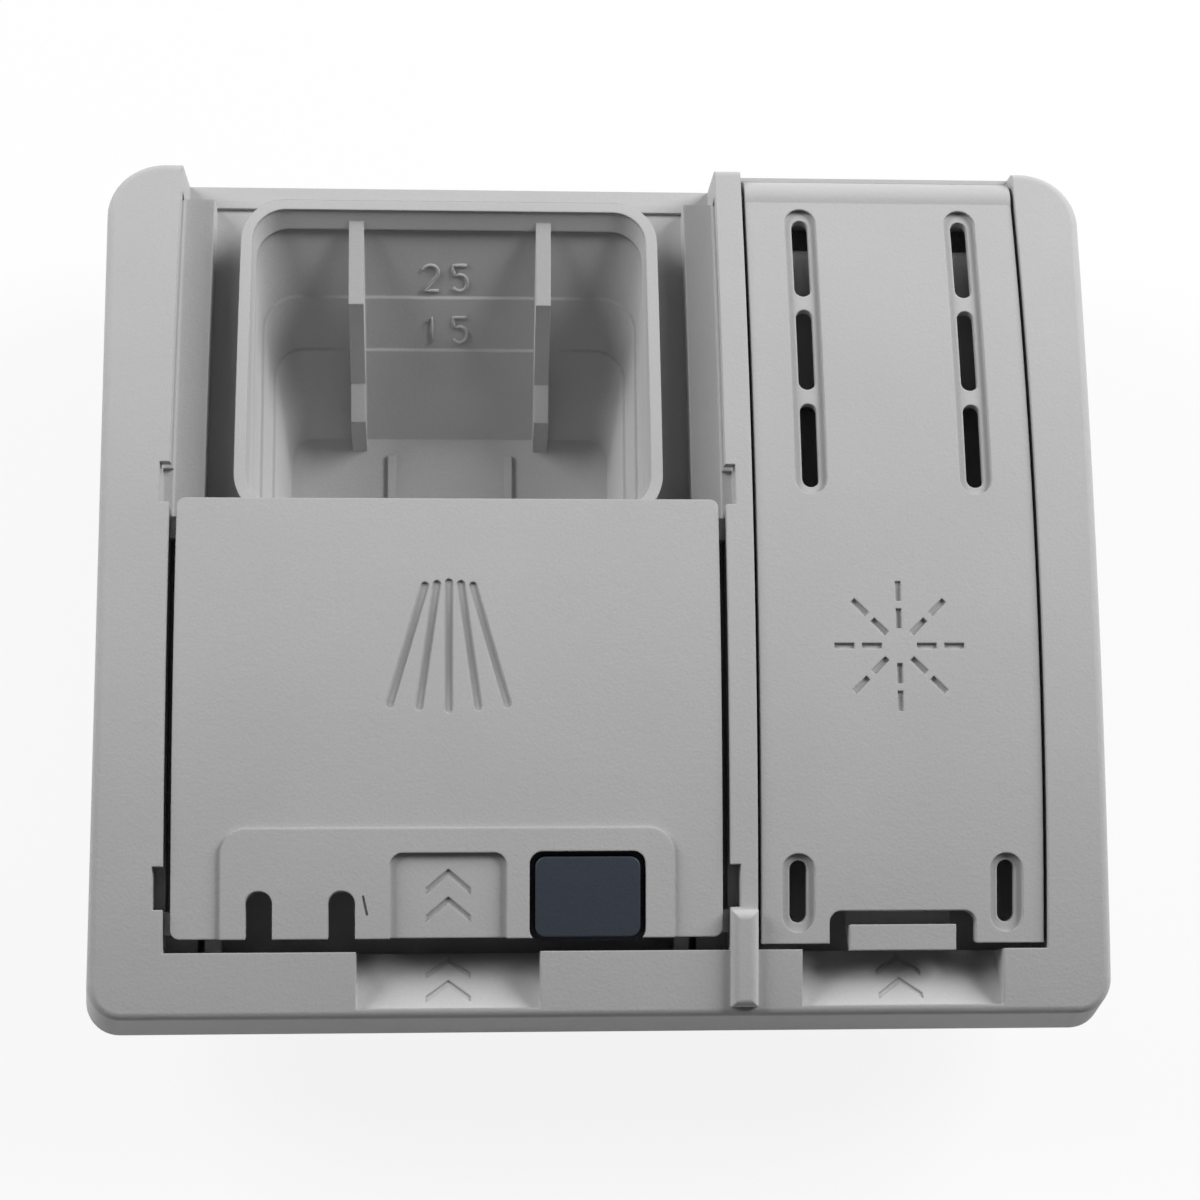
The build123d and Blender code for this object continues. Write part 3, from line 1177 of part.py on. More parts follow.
def coil_winding():
    """Copper winding on the bobbin."""
    x0, x1 = coil_ends()
    body = rod_x(COIL_RADIUS, x0, x1, ROD_Y, COIL_Z)
    return body - rod_x(BOBBIN_BORE + BOBBIN_WALL, x0 - 1, x1 + 1, ROD_Y, COIL_Z)


def coil_terminals():
    """Two flat tabs in the bobbin's terminal block."""
    x0 = coil_ends()[0] + TERMINAL_INSET
    y = ROD_Y - BOBBIN_FLANGE / 2 - TERMINAL_DEEP
    tabs = []
    for z in (COIL_Z - TERMINAL_PITCH / 2, COIL_Z + TERMINAL_PITCH / 2):
        tabs.append(block(x0, x0 + TAB_WIDE, y - TAB_LONG, y, z - TAB_METAL / 2, z + TAB_METAL / 2))
    return Compound(children=tabs)


def solenoid_frame():
    """Bent steel yoke round the coil, with two ears for its screws."""
    x0, x1 = coil_ends()
    a = x0 - BOBBIN_FLANGE_THICK
    b = x1 + BOBBIN_FLANGE_THICK
    half = YOKE_WIDTH / 2
    low = YOKE_LOW_Z
    body = block(a - YOKE_THICK, b + YOKE_THICK, ROD_Y - half, ROD_Y + half, low, low + YOKE_THICK)
    for x in (a - YOKE_THICK, b):
        body += block(x, x + YOKE_THICK, ROD_Y - half, ROD_Y + half, low, YOKE_TOP_Z)
    ear = YOKE_EAR_WIDTH / 2
    reach = YOKE_EAR + YOKE_EAR_END
    body += block(COIL_X - ear, COIL_X + ear, ROD_Y - reach, ROD_Y + reach, low, low + YOKE_THICK)
    body -= rod_x(BOBBIN_BORE, a - 5, b + 5, ROD_Y, COIL_Z)
    for x, y in screw_places():
        body -= rod_z(SCREW_SHANK + PIN_CLEARANCE, x, y, low - 1, low + YOKE_THICK + 1)
    return body


def solenoid_screws():
    """Two screws that hold the yoke to its bosses."""
    screws = []
    for x, y in screw_places():
        head = rod_z(SCREW_HEAD, x, y, YOKE_LOW_Z - SCREW_HEAD_HIGH, YOKE_LOW_Z)
        shank = rod_z(SCREW_SHANK, x, y, YOKE_LOW_Z - 0.2, YOKE_LOW_Z + YOKE_THICK + SCREW_LENGTH - 0.5)
        cross = Pos(x, y, YOKE_LOW_Z - SCREW_HEAD_HIGH) * (Box(3.2, 0.8, 1.6) + Box(0.8, 3.2, 1.6))
        screws.append(head + shank - cross)
    return Compound(children=screws)


def armature():
    """Iron core with a rod to the crank on one side and to the valve on the other."""
    start = armature_start()
    body = rod_x(ARMATURE_RADIUS, start, start + ARMATURE_LENGTH, ROD_Y, COIL_Z)
    pin_x = LID_X + CRANK_ARM * sin(radians(CATCH_TURN / 2))
    body += rod_x(ROD_RADIUS, pin_x - ROD_END, start + 1, ROD_Y, COIL_Z)
    body += rod_x(ROD_RADIUS, start + ARMATURE_LENGTH - 1, valve_tip() - RUN_GAP, ROD_Y, COIL_Z)
    body += rod_z(ROD_PIN, pin_x, ROD_Y, COIL_Z, CRANK_Z + CRANK_THICK + ROD_PIN_OVER)
    body += rod_x(COLLAR_RADIUS, collar_x() - COLLAR_THICK, collar_x(), ROD_Y, COIL_Z)
    return body


def armature_start():
    """Left end of the iron core at rest."""
    return coil_ends()[0] - CORE_OUT


def collar_x():
    """Face of the rod's collar that the return spring pushes on."""
    return coil_ends()[0] - BOBBIN_FLANGE_THICK - YOKE_THICK - RETURN_SPACE


def armature_spring():
    """Return spring between the yoke and the rod's collar."""
    x1 = coil_ends()[0] - BOBBIN_FLANGE_THICK - YOKE_THICK
    x0 = collar_x()
    length = x1 - x0 - 2 * (RETURN_WIRE_R + SPRING_END_GAP)
    place = Pos(x0 + RETURN_WIRE_R + SPRING_END_GAP, ROD_Y, COIL_Z) * Rot(0, 90, 0)
    return place * coil(ARMATURE_RADIUS + 1.0, RETURN_WIRE_R, length, 4)


def valve_tip():
    """Outer end of the valve's stem at rest."""
    return TANK_LEFT - VALVE_STEM_OUT


def dosing_valve():
    """Valve stem through the tank wall with its round head."""
    stem = rod_x(VALVE_STEM, valve_tip(), VALVE_REST + 0.5, ROD_Y, COIL_Z)
    head = rod_x(VALVE_HEAD, VALVE_REST, VALVE_REST + VALVE_HEAD_THICK, ROD_Y, COIL_Z)
    return stem + head


def valve_spring():
    """Closing spring between the valve's head and its post in the tank."""
    x0 = VALVE_REST + VALVE_HEAD_THICK
    length = VALVE_SPRING_LENGTH - 2 * (RETURN_WIRE_R + SPRING_END_GAP)
    place = Pos(x0 + RETURN_WIRE_R + SPRING_END_GAP, ROD_Y, COIL_Z) * Rot(0, 90, 0)
    return place * coil(RETURN_SPRING_R, RETURN_WIRE_R, length, 4)


def lid_spring(side):
    """Tension spring in the channel beside the cup, from the lower wall to the lid's lug."""
    x = LID_X + side * spring_offset()
    start = crown_point(arc_of(WELL_BOTTOM_Y) + SPRING_ANCHOR + 2 * LID_WIRE_R, SPRING_DEPTH)
    end = crown_point(SPRING_LUG_V, SPRING_DEPTH)
    path = Vector(0, end[0] - start[0], end[1] - start[1])
    plane = Plane(origin=(x, start[0], start[1]), x_dir=(1, 0, 0), z_dir=path)
    return plane * coil(LID_SPRING_R, LID_WIRE_R, path.length - 0.4, LID_SPRING_TURNS)


NODES = {
    "housing": housing,
    "tank_cover": tank_cover,
    "door_gasket": door_gasket,
    "lid": lid,
    "release_button": release_button,
    "button_retainer": button_retainer,
    "button_spring": button_spring,
    "flap": flap,
    "flap_seal": flap_seal,
    "flap_latch": flap_latch,
    "fill_funnel": fill_funnel,
    "dosing_knob": dosing_knob,
    "knob_ring": knob_seal,
    "float": float_body,
    "float_magnet": magnet_space,
    "float_pin": float_pin,
    "level_sensor": level_sensor,
    "sensor_terminals": sensor_terminals,
    "catch_shaft": catch_shaft,
    "crank_arm": crank_arm,
    "crank_clip": crank_clip,
    "shaft_seal": shaft_seal,
    "coil_bobbin": coil_bobbin,
    "coil_winding": coil_winding,
    "coil_terminals": coil_terminals,
    "solenoid_frame": solenoid_frame,
    "solenoid_screws": solenoid_screws,
    "armature": armature,
    "armature_spring": armature_spring,
    "dosing_valve": dosing_valve,
    "valve_spring": valve_spring,
    "lid_spring_left": lambda: lid_spring(-1),
    "lid_spring_right": lambda: lid_spring(1),
}

os.makedirs("parts", exist_ok=True)
for name, make in NODES.items():
    export_step(make(), f"parts/{name}.step")
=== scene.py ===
"""Looks of a dishwasher detergent dispenser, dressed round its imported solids.

The part lies on its back with its face up: +X runs from the detergent lid to the rinse aid
flap, +Y towards the flap's hinge and +Z out of the face. Sizes are metres.
"""
import json
import logging
import math
from dataclasses import dataclass, field
from enum import Enum
from typing import Any, Dict, List, Optional, Sequence, Tuple, Union

import bpy
import numpy as np
from mathutils import Matrix, Vector


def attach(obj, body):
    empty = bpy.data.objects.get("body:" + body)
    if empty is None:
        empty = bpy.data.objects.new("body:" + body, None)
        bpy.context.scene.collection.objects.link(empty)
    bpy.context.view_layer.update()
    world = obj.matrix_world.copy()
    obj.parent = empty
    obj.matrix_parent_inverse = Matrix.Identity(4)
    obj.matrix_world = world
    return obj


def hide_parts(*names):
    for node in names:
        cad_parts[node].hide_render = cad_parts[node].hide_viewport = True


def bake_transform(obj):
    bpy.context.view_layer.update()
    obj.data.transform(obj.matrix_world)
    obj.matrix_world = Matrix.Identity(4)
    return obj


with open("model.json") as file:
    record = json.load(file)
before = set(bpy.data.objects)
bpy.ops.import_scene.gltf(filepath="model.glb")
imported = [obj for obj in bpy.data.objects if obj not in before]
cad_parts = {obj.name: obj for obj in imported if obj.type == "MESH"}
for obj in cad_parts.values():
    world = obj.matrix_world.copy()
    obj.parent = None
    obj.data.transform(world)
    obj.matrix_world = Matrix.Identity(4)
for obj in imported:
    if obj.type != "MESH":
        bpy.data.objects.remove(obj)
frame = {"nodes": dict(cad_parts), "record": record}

LOG = logging.getLogger("dispenser")
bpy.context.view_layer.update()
MM = 0.001
IMAGE_SIDE = 1200
BEVEL_SAMPLES = 4
POINTS_PER_TURN = 14

Colour = Tuple[float, float, float]
Point = Tuple[float, float, float]


class Sock:
    """One output socket of a material's graph; its operators add Math nodes."""

    def __init__(self, graph: "Graph", socket: Optional[bpy.types.NodeSocket]) -> None:
        """Keeps the socket and the graph that it belongs to."""
        self.graph = graph
        self.socket = socket

    def _math(self, operation: str, first: "Value", second: "Value") -> "Sock":
        """Adds one Math node for two values."""
        return self.graph.node("ShaderNodeMath", {"operation": operation}, {0: first, 1: second})

    def __add__(self, other: "Value") -> "Sock":
        """Sum."""
        return self._math("ADD", self, other)

    def __radd__(self, other: "Value") -> "Sock":
        """Sum with the number first."""
        return self._math("ADD", other, self)

    def __sub__(self, other: "Value") -> "Sock":
        """Difference."""
        return self._math("SUBTRACT", self, other)

    def __rsub__(self, other: "Value") -> "Sock":
        """Difference with the number first."""
        return self._math("SUBTRACT", other, self)

    def __mul__(self, other: "Value") -> "Sock":
        """Product."""
        return self._math("MULTIPLY", self, other)

    def __rmul__(self, other: "Value") -> "Sock":
        """Product with the number first."""
        return self._math("MULTIPLY", other, self)

    def __abs__(self) -> "Sock":
        """Size without its sign."""
        return self._math("ABSOLUTE", self, 0.0)

    def below(self, limit: float, soft: float) -> "Sock":
        """Mask that is 1 under a limit and falls to 0 over a soft width.

        Args:
            limit: Value at which the mask starts to fall.
            soft: Width over which it falls.

        Returns:
            The mask, from 0 to 1.
        """
        return self.graph.node(
            "ShaderNodeMapRange", {"interpolation_type": "SMOOTHSTEP"},
            {"Value": self, "From Min": limit, "From Max": limit + soft,
             "To Min": 1.0, "To Max": 0.0})


Value = Union[Sock, float, Sequence[float]]


class Graph:
    """Node graph of one new material."""

    def __init__(self, name: str) -> None:
        """Makes an empty material.

        Args:
            name: Name of the material.
        """
        self.material = bpy.data.materials.new(name)
        self.material.use_nodes = True
        self.tree = self.material.node_tree
        self.tree.nodes.clear()

    def node(self, kind: str, settings: Dict[str, Any], inputs: Dict[Any, Value],
             output: Any = 0) -> Sock:
        """Adds a node of any type.

        Args:
            kind: Type name of the node.
            settings: Values of the node's own properties, set first.
            inputs: Values or links of its sockets, by name or place.
            output: Name or place of the output to use.

        Returns:
            That output; a node without outputs gives an empty one.
        """
        made = self.tree.nodes.new(kind)
        for key, value in settings.items():
            setattr(made, key, value)
        for key, value in inputs.items():
            if isinstance(value, Sock):
                self.tree.links.new(value.socket, made.inputs[key])
            else:
                made.inputs[key].default_value = value
        return Sock(self, made.outputs[output] if len(made.outputs) else None)

    def place(self) -> Sock:
        """Object coordinates, in metres."""
        return self.node("ShaderNodeTexCoord", {}, {}, "Object")

    def axes(self) -> Tuple[Sock, ...]:
        """Splits the object coordinates.

        Returns:
            X, Y and Z as values.
        """
        split = self.node("ShaderNodeSeparateXYZ", {}, {0: self.place()})
        return tuple(Sock(self, output) for output in split.socket.node.outputs)

    def noise(self, size: float, detail: float = 2.0) -> Sock:
        """Noise of a feature size.

        Args:
            size: Size of one feature in metres.
            detail: Octaves of finer noise.

        Returns:
            Noise from 0 to 1 about 0.5.
        """
        return self.node("ShaderNodeTexNoise", {}, {
            "Vector": self.place(), "Scale": 1.0 / size, "Detail": detail}, 0)

    def mix(self, factor: Value, first: Value, second: Value) -> Sock:
        """Colour between two colours.

        Args:
            factor: Share of the second colour.
            first: First colour.
            second: Second colour.

        Returns:
            The mixed colour.
        """
        colours = [c if isinstance(c, Sock) else (*c, 1.0) for c in (first, second)]
        return self.node("ShaderNodeMix", {"data_type": "RGBA"},
                         {0: factor, 6: colours[0], 7: colours[1]}, 2)

    def bump(self, height: Value, depth: float, normal: Optional[Sock] = None) -> Sock:
        """Normal of a surface raised by a height map.

        Args:
            height: Height from 0 to 1.
            depth: Depth of the relief in metres.
            normal: Normal that it starts from.

        Returns:
            The bumped normal.
        """
        inputs: Dict[Any, Value] = {"Height": height, "Distance": depth, "Strength": 1.0}
        if normal is not None:
            inputs["Normal"] = normal
        return self.node("ShaderNodeBump", {}, inputs)

    def soft_edges(self, radius: float) -> Sock:
        """Normal with the edges rounded to a radius."""
        return self.node("ShaderNodeBevel", {"samples": BEVEL_SAMPLES}, {"Radius": radius})

    def close(self, **sockets: Value) -> bpy.types.Material:
        """Ends the graph in one principled shader.

        Args:
            **sockets: Its values or links, with underscores for spaces in their names.

        Returns:
            The finished material.
        """
        inputs = {key.replace("_", " "): value for key, value in sockets.items()}
        shader = self.node("ShaderNodeBsdfPrincipled", {}, inputs)
        self.node("ShaderNodeOutputMaterial", {}, {"Surface": shader})
        return self.material


@dataclass(frozen=True)
class MouldedPlastic:
    """Moulded plastic with an eroded grain, faint mottling and rounded edges."""

    name: str
    colour: Colour
    roughness: float = 0.68
    gloss_swing: float = 0.12
    gloss_patch: float = 3.0 * MM
    grain: float = 0.5 * MM
    coarse_grain: float = 1.6 * MM
    coarse_share: float = 0.6
    grain_depth: float = 0.035 * MM
    speckle: float = 0.10
    speck: float = 0.35 * MM
    speck_shade: float = 0.55
    speck_range: Tuple[float, float] = (0.3, 0.7)
    mottling: float = 0.05
    cloud: float = 22.0 * MM
    edge: float = 0.35 * MM
    index: float = 1.48

    def tone(self, graph: Graph) -> Sock:
        """Colour over the surface: cloudy mottling under a fine speckle.

        Args:
            graph: Graph of the material.

        Returns:
            The colour.
        """
        dark = tuple(c * (1.0 - self.mottling) for c in self.colour)
        light = tuple(c * (1.0 + self.mottling) for c in self.colour)
        cloudy = graph.mix(graph.noise(self.cloud, 3.0), dark, light)
        specks = graph.node("ShaderNodeMapRange", {}, {
            "Value": graph.noise(self.speck, 1.0), "From Min": self.speck_range[0],
            "From Max": self.speck_range[1], "To Min": 0.0, "To Max": self.speckle})
        return graph.mix(specks, cloudy, tuple(self.speck_shade * c for c in self.colour))

    def marks(self, graph: Graph, colour: Sock) -> Sock:
        """Colour with the wear that the piece shows; plain pieces show none."""
        return colour

    def make(self) -> bpy.types.Material:
        """Builds the material.

        Returns:
            The material.
        """
        graph = Graph(self.name)
        colour = self.marks(graph, self.tone(graph))
        rough = self.roughness + self.gloss_swing * (graph.noise(self.gloss_patch, 3.0) - 0.5)
        coarse = graph.noise(self.coarse_grain, 1.0)
        relief = graph.noise(self.grain, 2.0) + self.coarse_share * coarse
        normal = graph.bump(relief, self.grain_depth, graph.soft_edges(self.edge))
        return graph.close(Base_Color=colour, Roughness=rough, Normal=normal, IOR=self.index)


@dataclass(frozen=True)
class ScratchedPlastic(MouldedPlastic):
    """Moulded plastic with one short dark scratch, as on the lid's pad."""

    middle: Tuple[float, float] = (-37.35 * MM, -51.57 * MM)
    run: Tuple[float, float] = (0.222, -0.975)
    half_length: float = 1.7 * MM
    half_width: float = 0.13 * MM
    soft_side: float = 0.12 * MM
    tapered_end: float = 0.15
    blotch: float = 0.5 * MM
    wander: float = 0.22 * MM
    faintest: float = 0.55
    blotch_share: float = 0.7
    ink: Colour = (0.012, 0.012, 0.014)

    def marks(self, graph: Graph, colour: Sock) -> Sock:
        """Darkens a thin ragged line: near its run across, and within its half length along.

        Args:
            graph: Graph of the material.
            colour: Colour without the scratch.

        Returns:
            The colour with the scratch.
        """
        x, y, _ = graph.axes()
        x, y = x - self.middle[0], y - self.middle[1]
        along = (x * self.run[0] + y * self.run[1]) * (1.0 / self.half_length)
        across = y * self.run[0] - x * self.run[1]
        blotchy = graph.noise(self.blotch, 2.0)
        ragged = abs(across) + self.wander * (blotchy - 0.5)
        line = (ragged.below(self.half_width, self.soft_side)
                * abs(along).below(1.0 - self.tapered_end, self.tapered_end))
        return graph.mix(line * (self.faintest + self.blotch_share * blotchy), colour, self.ink)


@dataclass(frozen=True)
class SoftRubber:
    """Dark moulded rubber with a dusty bloom."""

    name: str
    colour: Colour
    roughness: float = 0.62
    gloss_swing: float = 0.2
    bloom: float = 6.0 * MM
    bloom_share: float = 0.7
    bloom_gain: float = 1.9
    bloom_lift: float = 0.01
    grain: float = 0.3 * MM
    grain_depth: float = 0.02 * MM
    edge: float = 0.3 * MM

    def make(self) -> bpy.types.Material:
        """Builds the material.

        Returns:
            The material.
        """
        graph = Graph(self.name)
        bloom = graph.noise(self.bloom, 4.0)
        pale = tuple(min(1.0, c * self.bloom_gain + self.bloom_lift) for c in self.colour)
        colour = graph.mix(self.bloom_share * bloom, self.colour, pale)
        rough = self.roughness + self.gloss_swing * (bloom - 0.5)
        grain = graph.noise(self.grain, 2.0)
        normal = graph.bump(grain, self.grain_depth, graph.soft_edges(self.edge))
        return graph.close(Base_Color=colour, Roughness=rough, Normal=normal)


@dataclass(frozen=True)
class DrawnMetal:
    """Drawn or plated metal: fine draw lines along one axis and cloudy tarnish."""

    name: str
    colour: Colour
    roughness: float = 0.3
    line_size: Point = (6.0 * MM, 0.12 * MM, 0.12 * MM)
    line_depth: float = 0.006 * MM
    line_swing: float = 0.16
    tarnish: float = 0.2
    cloud: float = 4.0 * MM
    cloud_swing: float = 0.2
    edge: float = 0.15 * MM

    def make(self) -> bpy.types.Material:
        """Builds the material.

        Returns:
            The material.
        """
        graph = Graph(self.name)
        stretched = graph.node("ShaderNodeMapping", {}, {
            "Vector": graph.place(), "Scale": tuple(MM / s for s in self.line_size)})
        lines = graph.node("ShaderNodeTexNoise", {}, {
            "Vector": stretched, "Scale": 1.0 / MM, "Detail": 2.0})
        cloud = graph.noise(self.cloud, 4.0)
        dull = tuple(c * (1.0 - self.tarnish) for c in self.colour)
        colour = graph.mix(cloud, dull, self.colour)
        rough = (self.roughness + self.line_swing * (lines - 0.5)
                 + self.cloud_swing * (cloud - 0.5))
        normal = graph.bump(lines, self.line_depth, graph.soft_edges(self.edge))
        return graph.close(Base_Color=colour, Roughness=rough, Normal=normal, Metallic=1.0)


Finish = Union[MouldedPlastic, SoftRubber, DrawnMetal]


class Slot(Enum):
    """Material slots of the record."""

    GREY = "grey_plastic"
    PALE = "pale_plastic"
    BUTTON = "button_plastic"
    BLACK = "black_plastic"
    SEAL = "soft_seal"
    SPRING = "spring_steel"
    ZINC = "zinc_steel"
    MAGNET = "dark_metal"
    COPPER = "coil_wire"
    TAB = "tab_brass"


GREY_COLOUR: Colour = (0.425, 0.42, 0.425)

FINISHES: Dict[Slot, Finish] = {
    Slot.GREY: MouldedPlastic("grey_moulding", GREY_COLOUR),
    Slot.PALE: MouldedPlastic("pale_moulding", (0.62, 0.62, 0.59), roughness=0.42),
    Slot.BUTTON: MouldedPlastic(
        "dark_button", (0.042, 0.050, 0.066), roughness=0.36, speckle=0.2),
    Slot.BLACK: MouldedPlastic("black_moulding", (0.022, 0.022, 0.024), roughness=0.45),
    Slot.SEAL: SoftRubber("seal_rubber", (0.035, 0.035, 0.036)),
    Slot.SPRING: DrawnMetal("spring_wire", (0.60, 0.61, 0.63), 0.24),
    Slot.ZINC: DrawnMetal("zinc_plate", (0.62, 0.63, 0.62), 0.36, tarnish=0.25),
    Slot.MAGNET: DrawnMetal("ground_magnet", (0.16, 0.16, 0.165), 0.42),
    Slot.COPPER: DrawnMetal("enamelled_copper", (0.52, 0.19, 0.07), 0.28, tarnish=0.3),
    Slot.TAB: DrawnMetal("tinned_tab", (0.72, 0.66, 0.50), 0.3),
}


@dataclass
class Wardrobe:
    """The finished materials, one for each slot, and the slot of each solid."""

    made: Dict[Slot, bpy.types.Material] = field(default_factory=dict)
    slots: Dict[str, Slot] = field(default_factory=dict)

    def cut(self) -> None:
        """Builds every slot's material and reads each solid's slot from the record."""
        for slot, finish in FINISHES.items():
            self.made[slot] = finish.make()
        for row in frame["record"]["subparts"]:
            self.slots[row["node"]] = Slot(row["material_slot"])

    def dress(self, node: str) -> None:
        """Gives a solid the material of its slot."""
        put_on(frame["nodes"][node], self.made[self.slots[node]])
        LOG.info("%s: %s", node, self.slots[node].value)


def put_on(obj: bpy.types.Object, material: bpy.types.Material) -> None:
    """Makes one material the only one of an object."""
    obj.data.materials.clear()
    obj.data.materials.append(material)


@dataclass
class Shell:
    """Vertices and faces of one mesh, as arrays and lists."""

    points: np.ndarray
    faces: List[List[int]]

    def __add__(self, other: "Shell") -> "Shell":
        """Joins two shells.

        Args:
            other: Shell whose points come second.

        Returns:
            Both shells as one.
        """
        shift = len(self.points)
        moved = [[i + shift for i in face] for face in other.faces]
        return Shell(np.vstack([self.points, other.points]), self.faces + moved)

    def lay(self, name: str, material: bpy.types.Material, slot: Slot) -> bpy.types.Object:
        """Makes the mesh object.

        Args:
            name: Name of the piece.
            material: Its finish.
            slot: Record's slot that the finish belongs to; not used.

        Returns:
            The object, at the origin.
        """
        mesh = bpy.data.meshes.new(name)
        mesh.from_pydata(self.points.tolist(), [], self.faces)
        mesh.polygons.foreach_set("use_smooth", np.ones(len(mesh.polygons), dtype=bool))
        mesh.update()
        obj = bpy.data.objects.new(name, mesh)
        bpy.context.scene.collection.objects.link(obj)
        put_on(obj, material)
        LOG.info("%s: %d faces", name, len(self.faces))
        return obj


def grid_quads(rows: int, columns: int, wrap_rows: bool = False) -> np.ndarray:
    """Quads of a grid whose columns close on themselves.

    Args:
        rows: Number of rows of points.
        columns: Number of points in a row.
        wrap_rows: Whether the last row meets the first.

    Returns:
        Four point numbers for each quad.
    """
    strips = rows if wrap_rows else rows - 1
    i, j = np.meshgrid(np.arange(strips), np.arange(columns), indexing="ij")
    below = ((i + 1) % rows) * columns
    beside = (j + 1) % columns
    quads = np.stack([i * columns + j, below + j, below + beside, i * columns + beside], axis=-1)
    return quads.reshape(-1, 4)


def tube(path: np.ndarray, reference: np.ndarray, wide: float, high: float,
         sides: int = 8) -> Shell:
    """Ellipse carried along a path: path + wide cos(a) b + high sin(a) n, with closed ends.

    Args:
        path: Points along the middle line.
        reference: Direction that the ellipse's height follows.
        wide: Half width of the ellipse.
        high: Half height.
        sides: Points round it.

    Returns:
        The closed surface.
    """
    tangent = np.gradient(path, axis=0)
    tangent /= np.linalg.norm(tangent, axis=1, keepdims=True)
    across = np.cross(tangent, reference)
    across /= np.linalg.norm(across, axis=1, keepdims=True)
    upward = np.cross(across, tangent)
    angle = np.linspace(0.0, 2.0 * np.pi, sides, endpoint=False)
    rings = (path[:, None, :] + wide * np.cos(angle)[None, :, None] * across[:, None, :]
             + high * np.sin(angle)[None, :, None] * upward[:, None, :])
    last = (len(path) - 1) * sides
    caps = [list(range(sides)), list(range(last + sides - 1, last - 1, -1))]
    return Shell(rings.reshape(-1, 3), grid_quads(len(path), sides).tolist() + caps)


def helix(start: np.ndarray, axis: np.ndarray, radius: float, length: float, turns: float,
          closed: float) -> np.ndarray:
    """Coil line: start + axis s(u) + radius (cos 2 pi turns u, sin 2 pi turns u).

    The advance s(u) stands still over the closed end turns and is even between them.

    Args:
        start: Middle of the first end.
        axis: Unit vector along the coil.
        radius: Radius of the wire's middle line.
        length: Length along the axis.
        turns: Number of turns.
        closed: Turns at each end that lie flat.

    Returns:
        Points along the line.
    """
    side = np.cross(axis, (1.0, 0.0, 0.0) if abs(axis[0]) < 0.9 else (0.0, 1.0, 0.0))
    side /= np.linalg.norm(side)
    other = np.cross(axis, side)
    u = np.linspace(0.0, 1.0, int(turns * POINTS_PER_TURN) + 1)
    share = closed / turns
    advance = length * np.clip((u - share) / (1.0 - 2.0 * share), 0.0, 1.0)
    turn = 2.0 * np.pi * turns * u
    return (start + advance[:, None] * axis
            + radius * (np.cos(turn)[:, None] * side + np.sin(turn)[:, None] * other))


@dataclass
class CoilSpring:
    """Round-wire spring between two points.

    A hooked spring has an open loop on each end that lies in the plane of its axis.
    """

    name: str
    node: str
    start: Point
    end: Point
    radius: float
    wire: float
    turns: float
    bodies: Tuple[str, str]
    hooked: bool = False
    end_turns: float = 0.9
    loop_share: float = 0.8
    loop_span: Tuple[float, float] = (-0.5 * np.pi, 1.2 * np.pi)
    loop_points: int = 24

    def loop(self, tip: np.ndarray, axis: np.ndarray) -> Shell:
        """End loop: a circle a little smaller than the coil, open by about a sixth.

        Args:
            tip: Where the loop leaves the coil's middle line.
            axis: Unit vector out of the coil.

        Returns:
            The loop's surface.
        """
        flat = np.array((1.0, 0.0, 0.0))
        side = np.cross(axis, flat)
        radius = self.radius * self.loop_share
        turn = np.linspace(*self.loop_span, self.loop_points)[:, None]
        middle = tip + axis * radius
        line = middle + radius * (np.sin(turn) * axis + np.cos(turn) * side)
        return tube(line, flat, self.wire, self.wire)

    def build(self, material: bpy.types.Material) -> None:
        """Makes the spring between its two end points and hides the solid that it replaces.

        Args:
            material: Finish of the wire.
        """
        low = np.array(self.start)
        span = np.array(self.end) - low
        length = float(np.linalg.norm(span))
        axis = span / length
        inset = 2.0 * self.radius * self.loop_share if self.hooked else self.wire
        closed = 0.0 if self.hooked else self.end_turns
        line = helix(low + inset * axis, axis, self.radius, length - 2.0 * inset,
                     self.turns, closed)
        shell = tube(line, axis, self.wire, self.wire)
        if self.hooked:
            shell = shell + self.loop(low + inset * axis, -axis)
            shell = shell + self.loop(low + (length - inset) * axis, axis)
        obj = shell.lay(self.name, material, Slot.SPRING)
        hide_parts(self.node)
        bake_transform(obj)


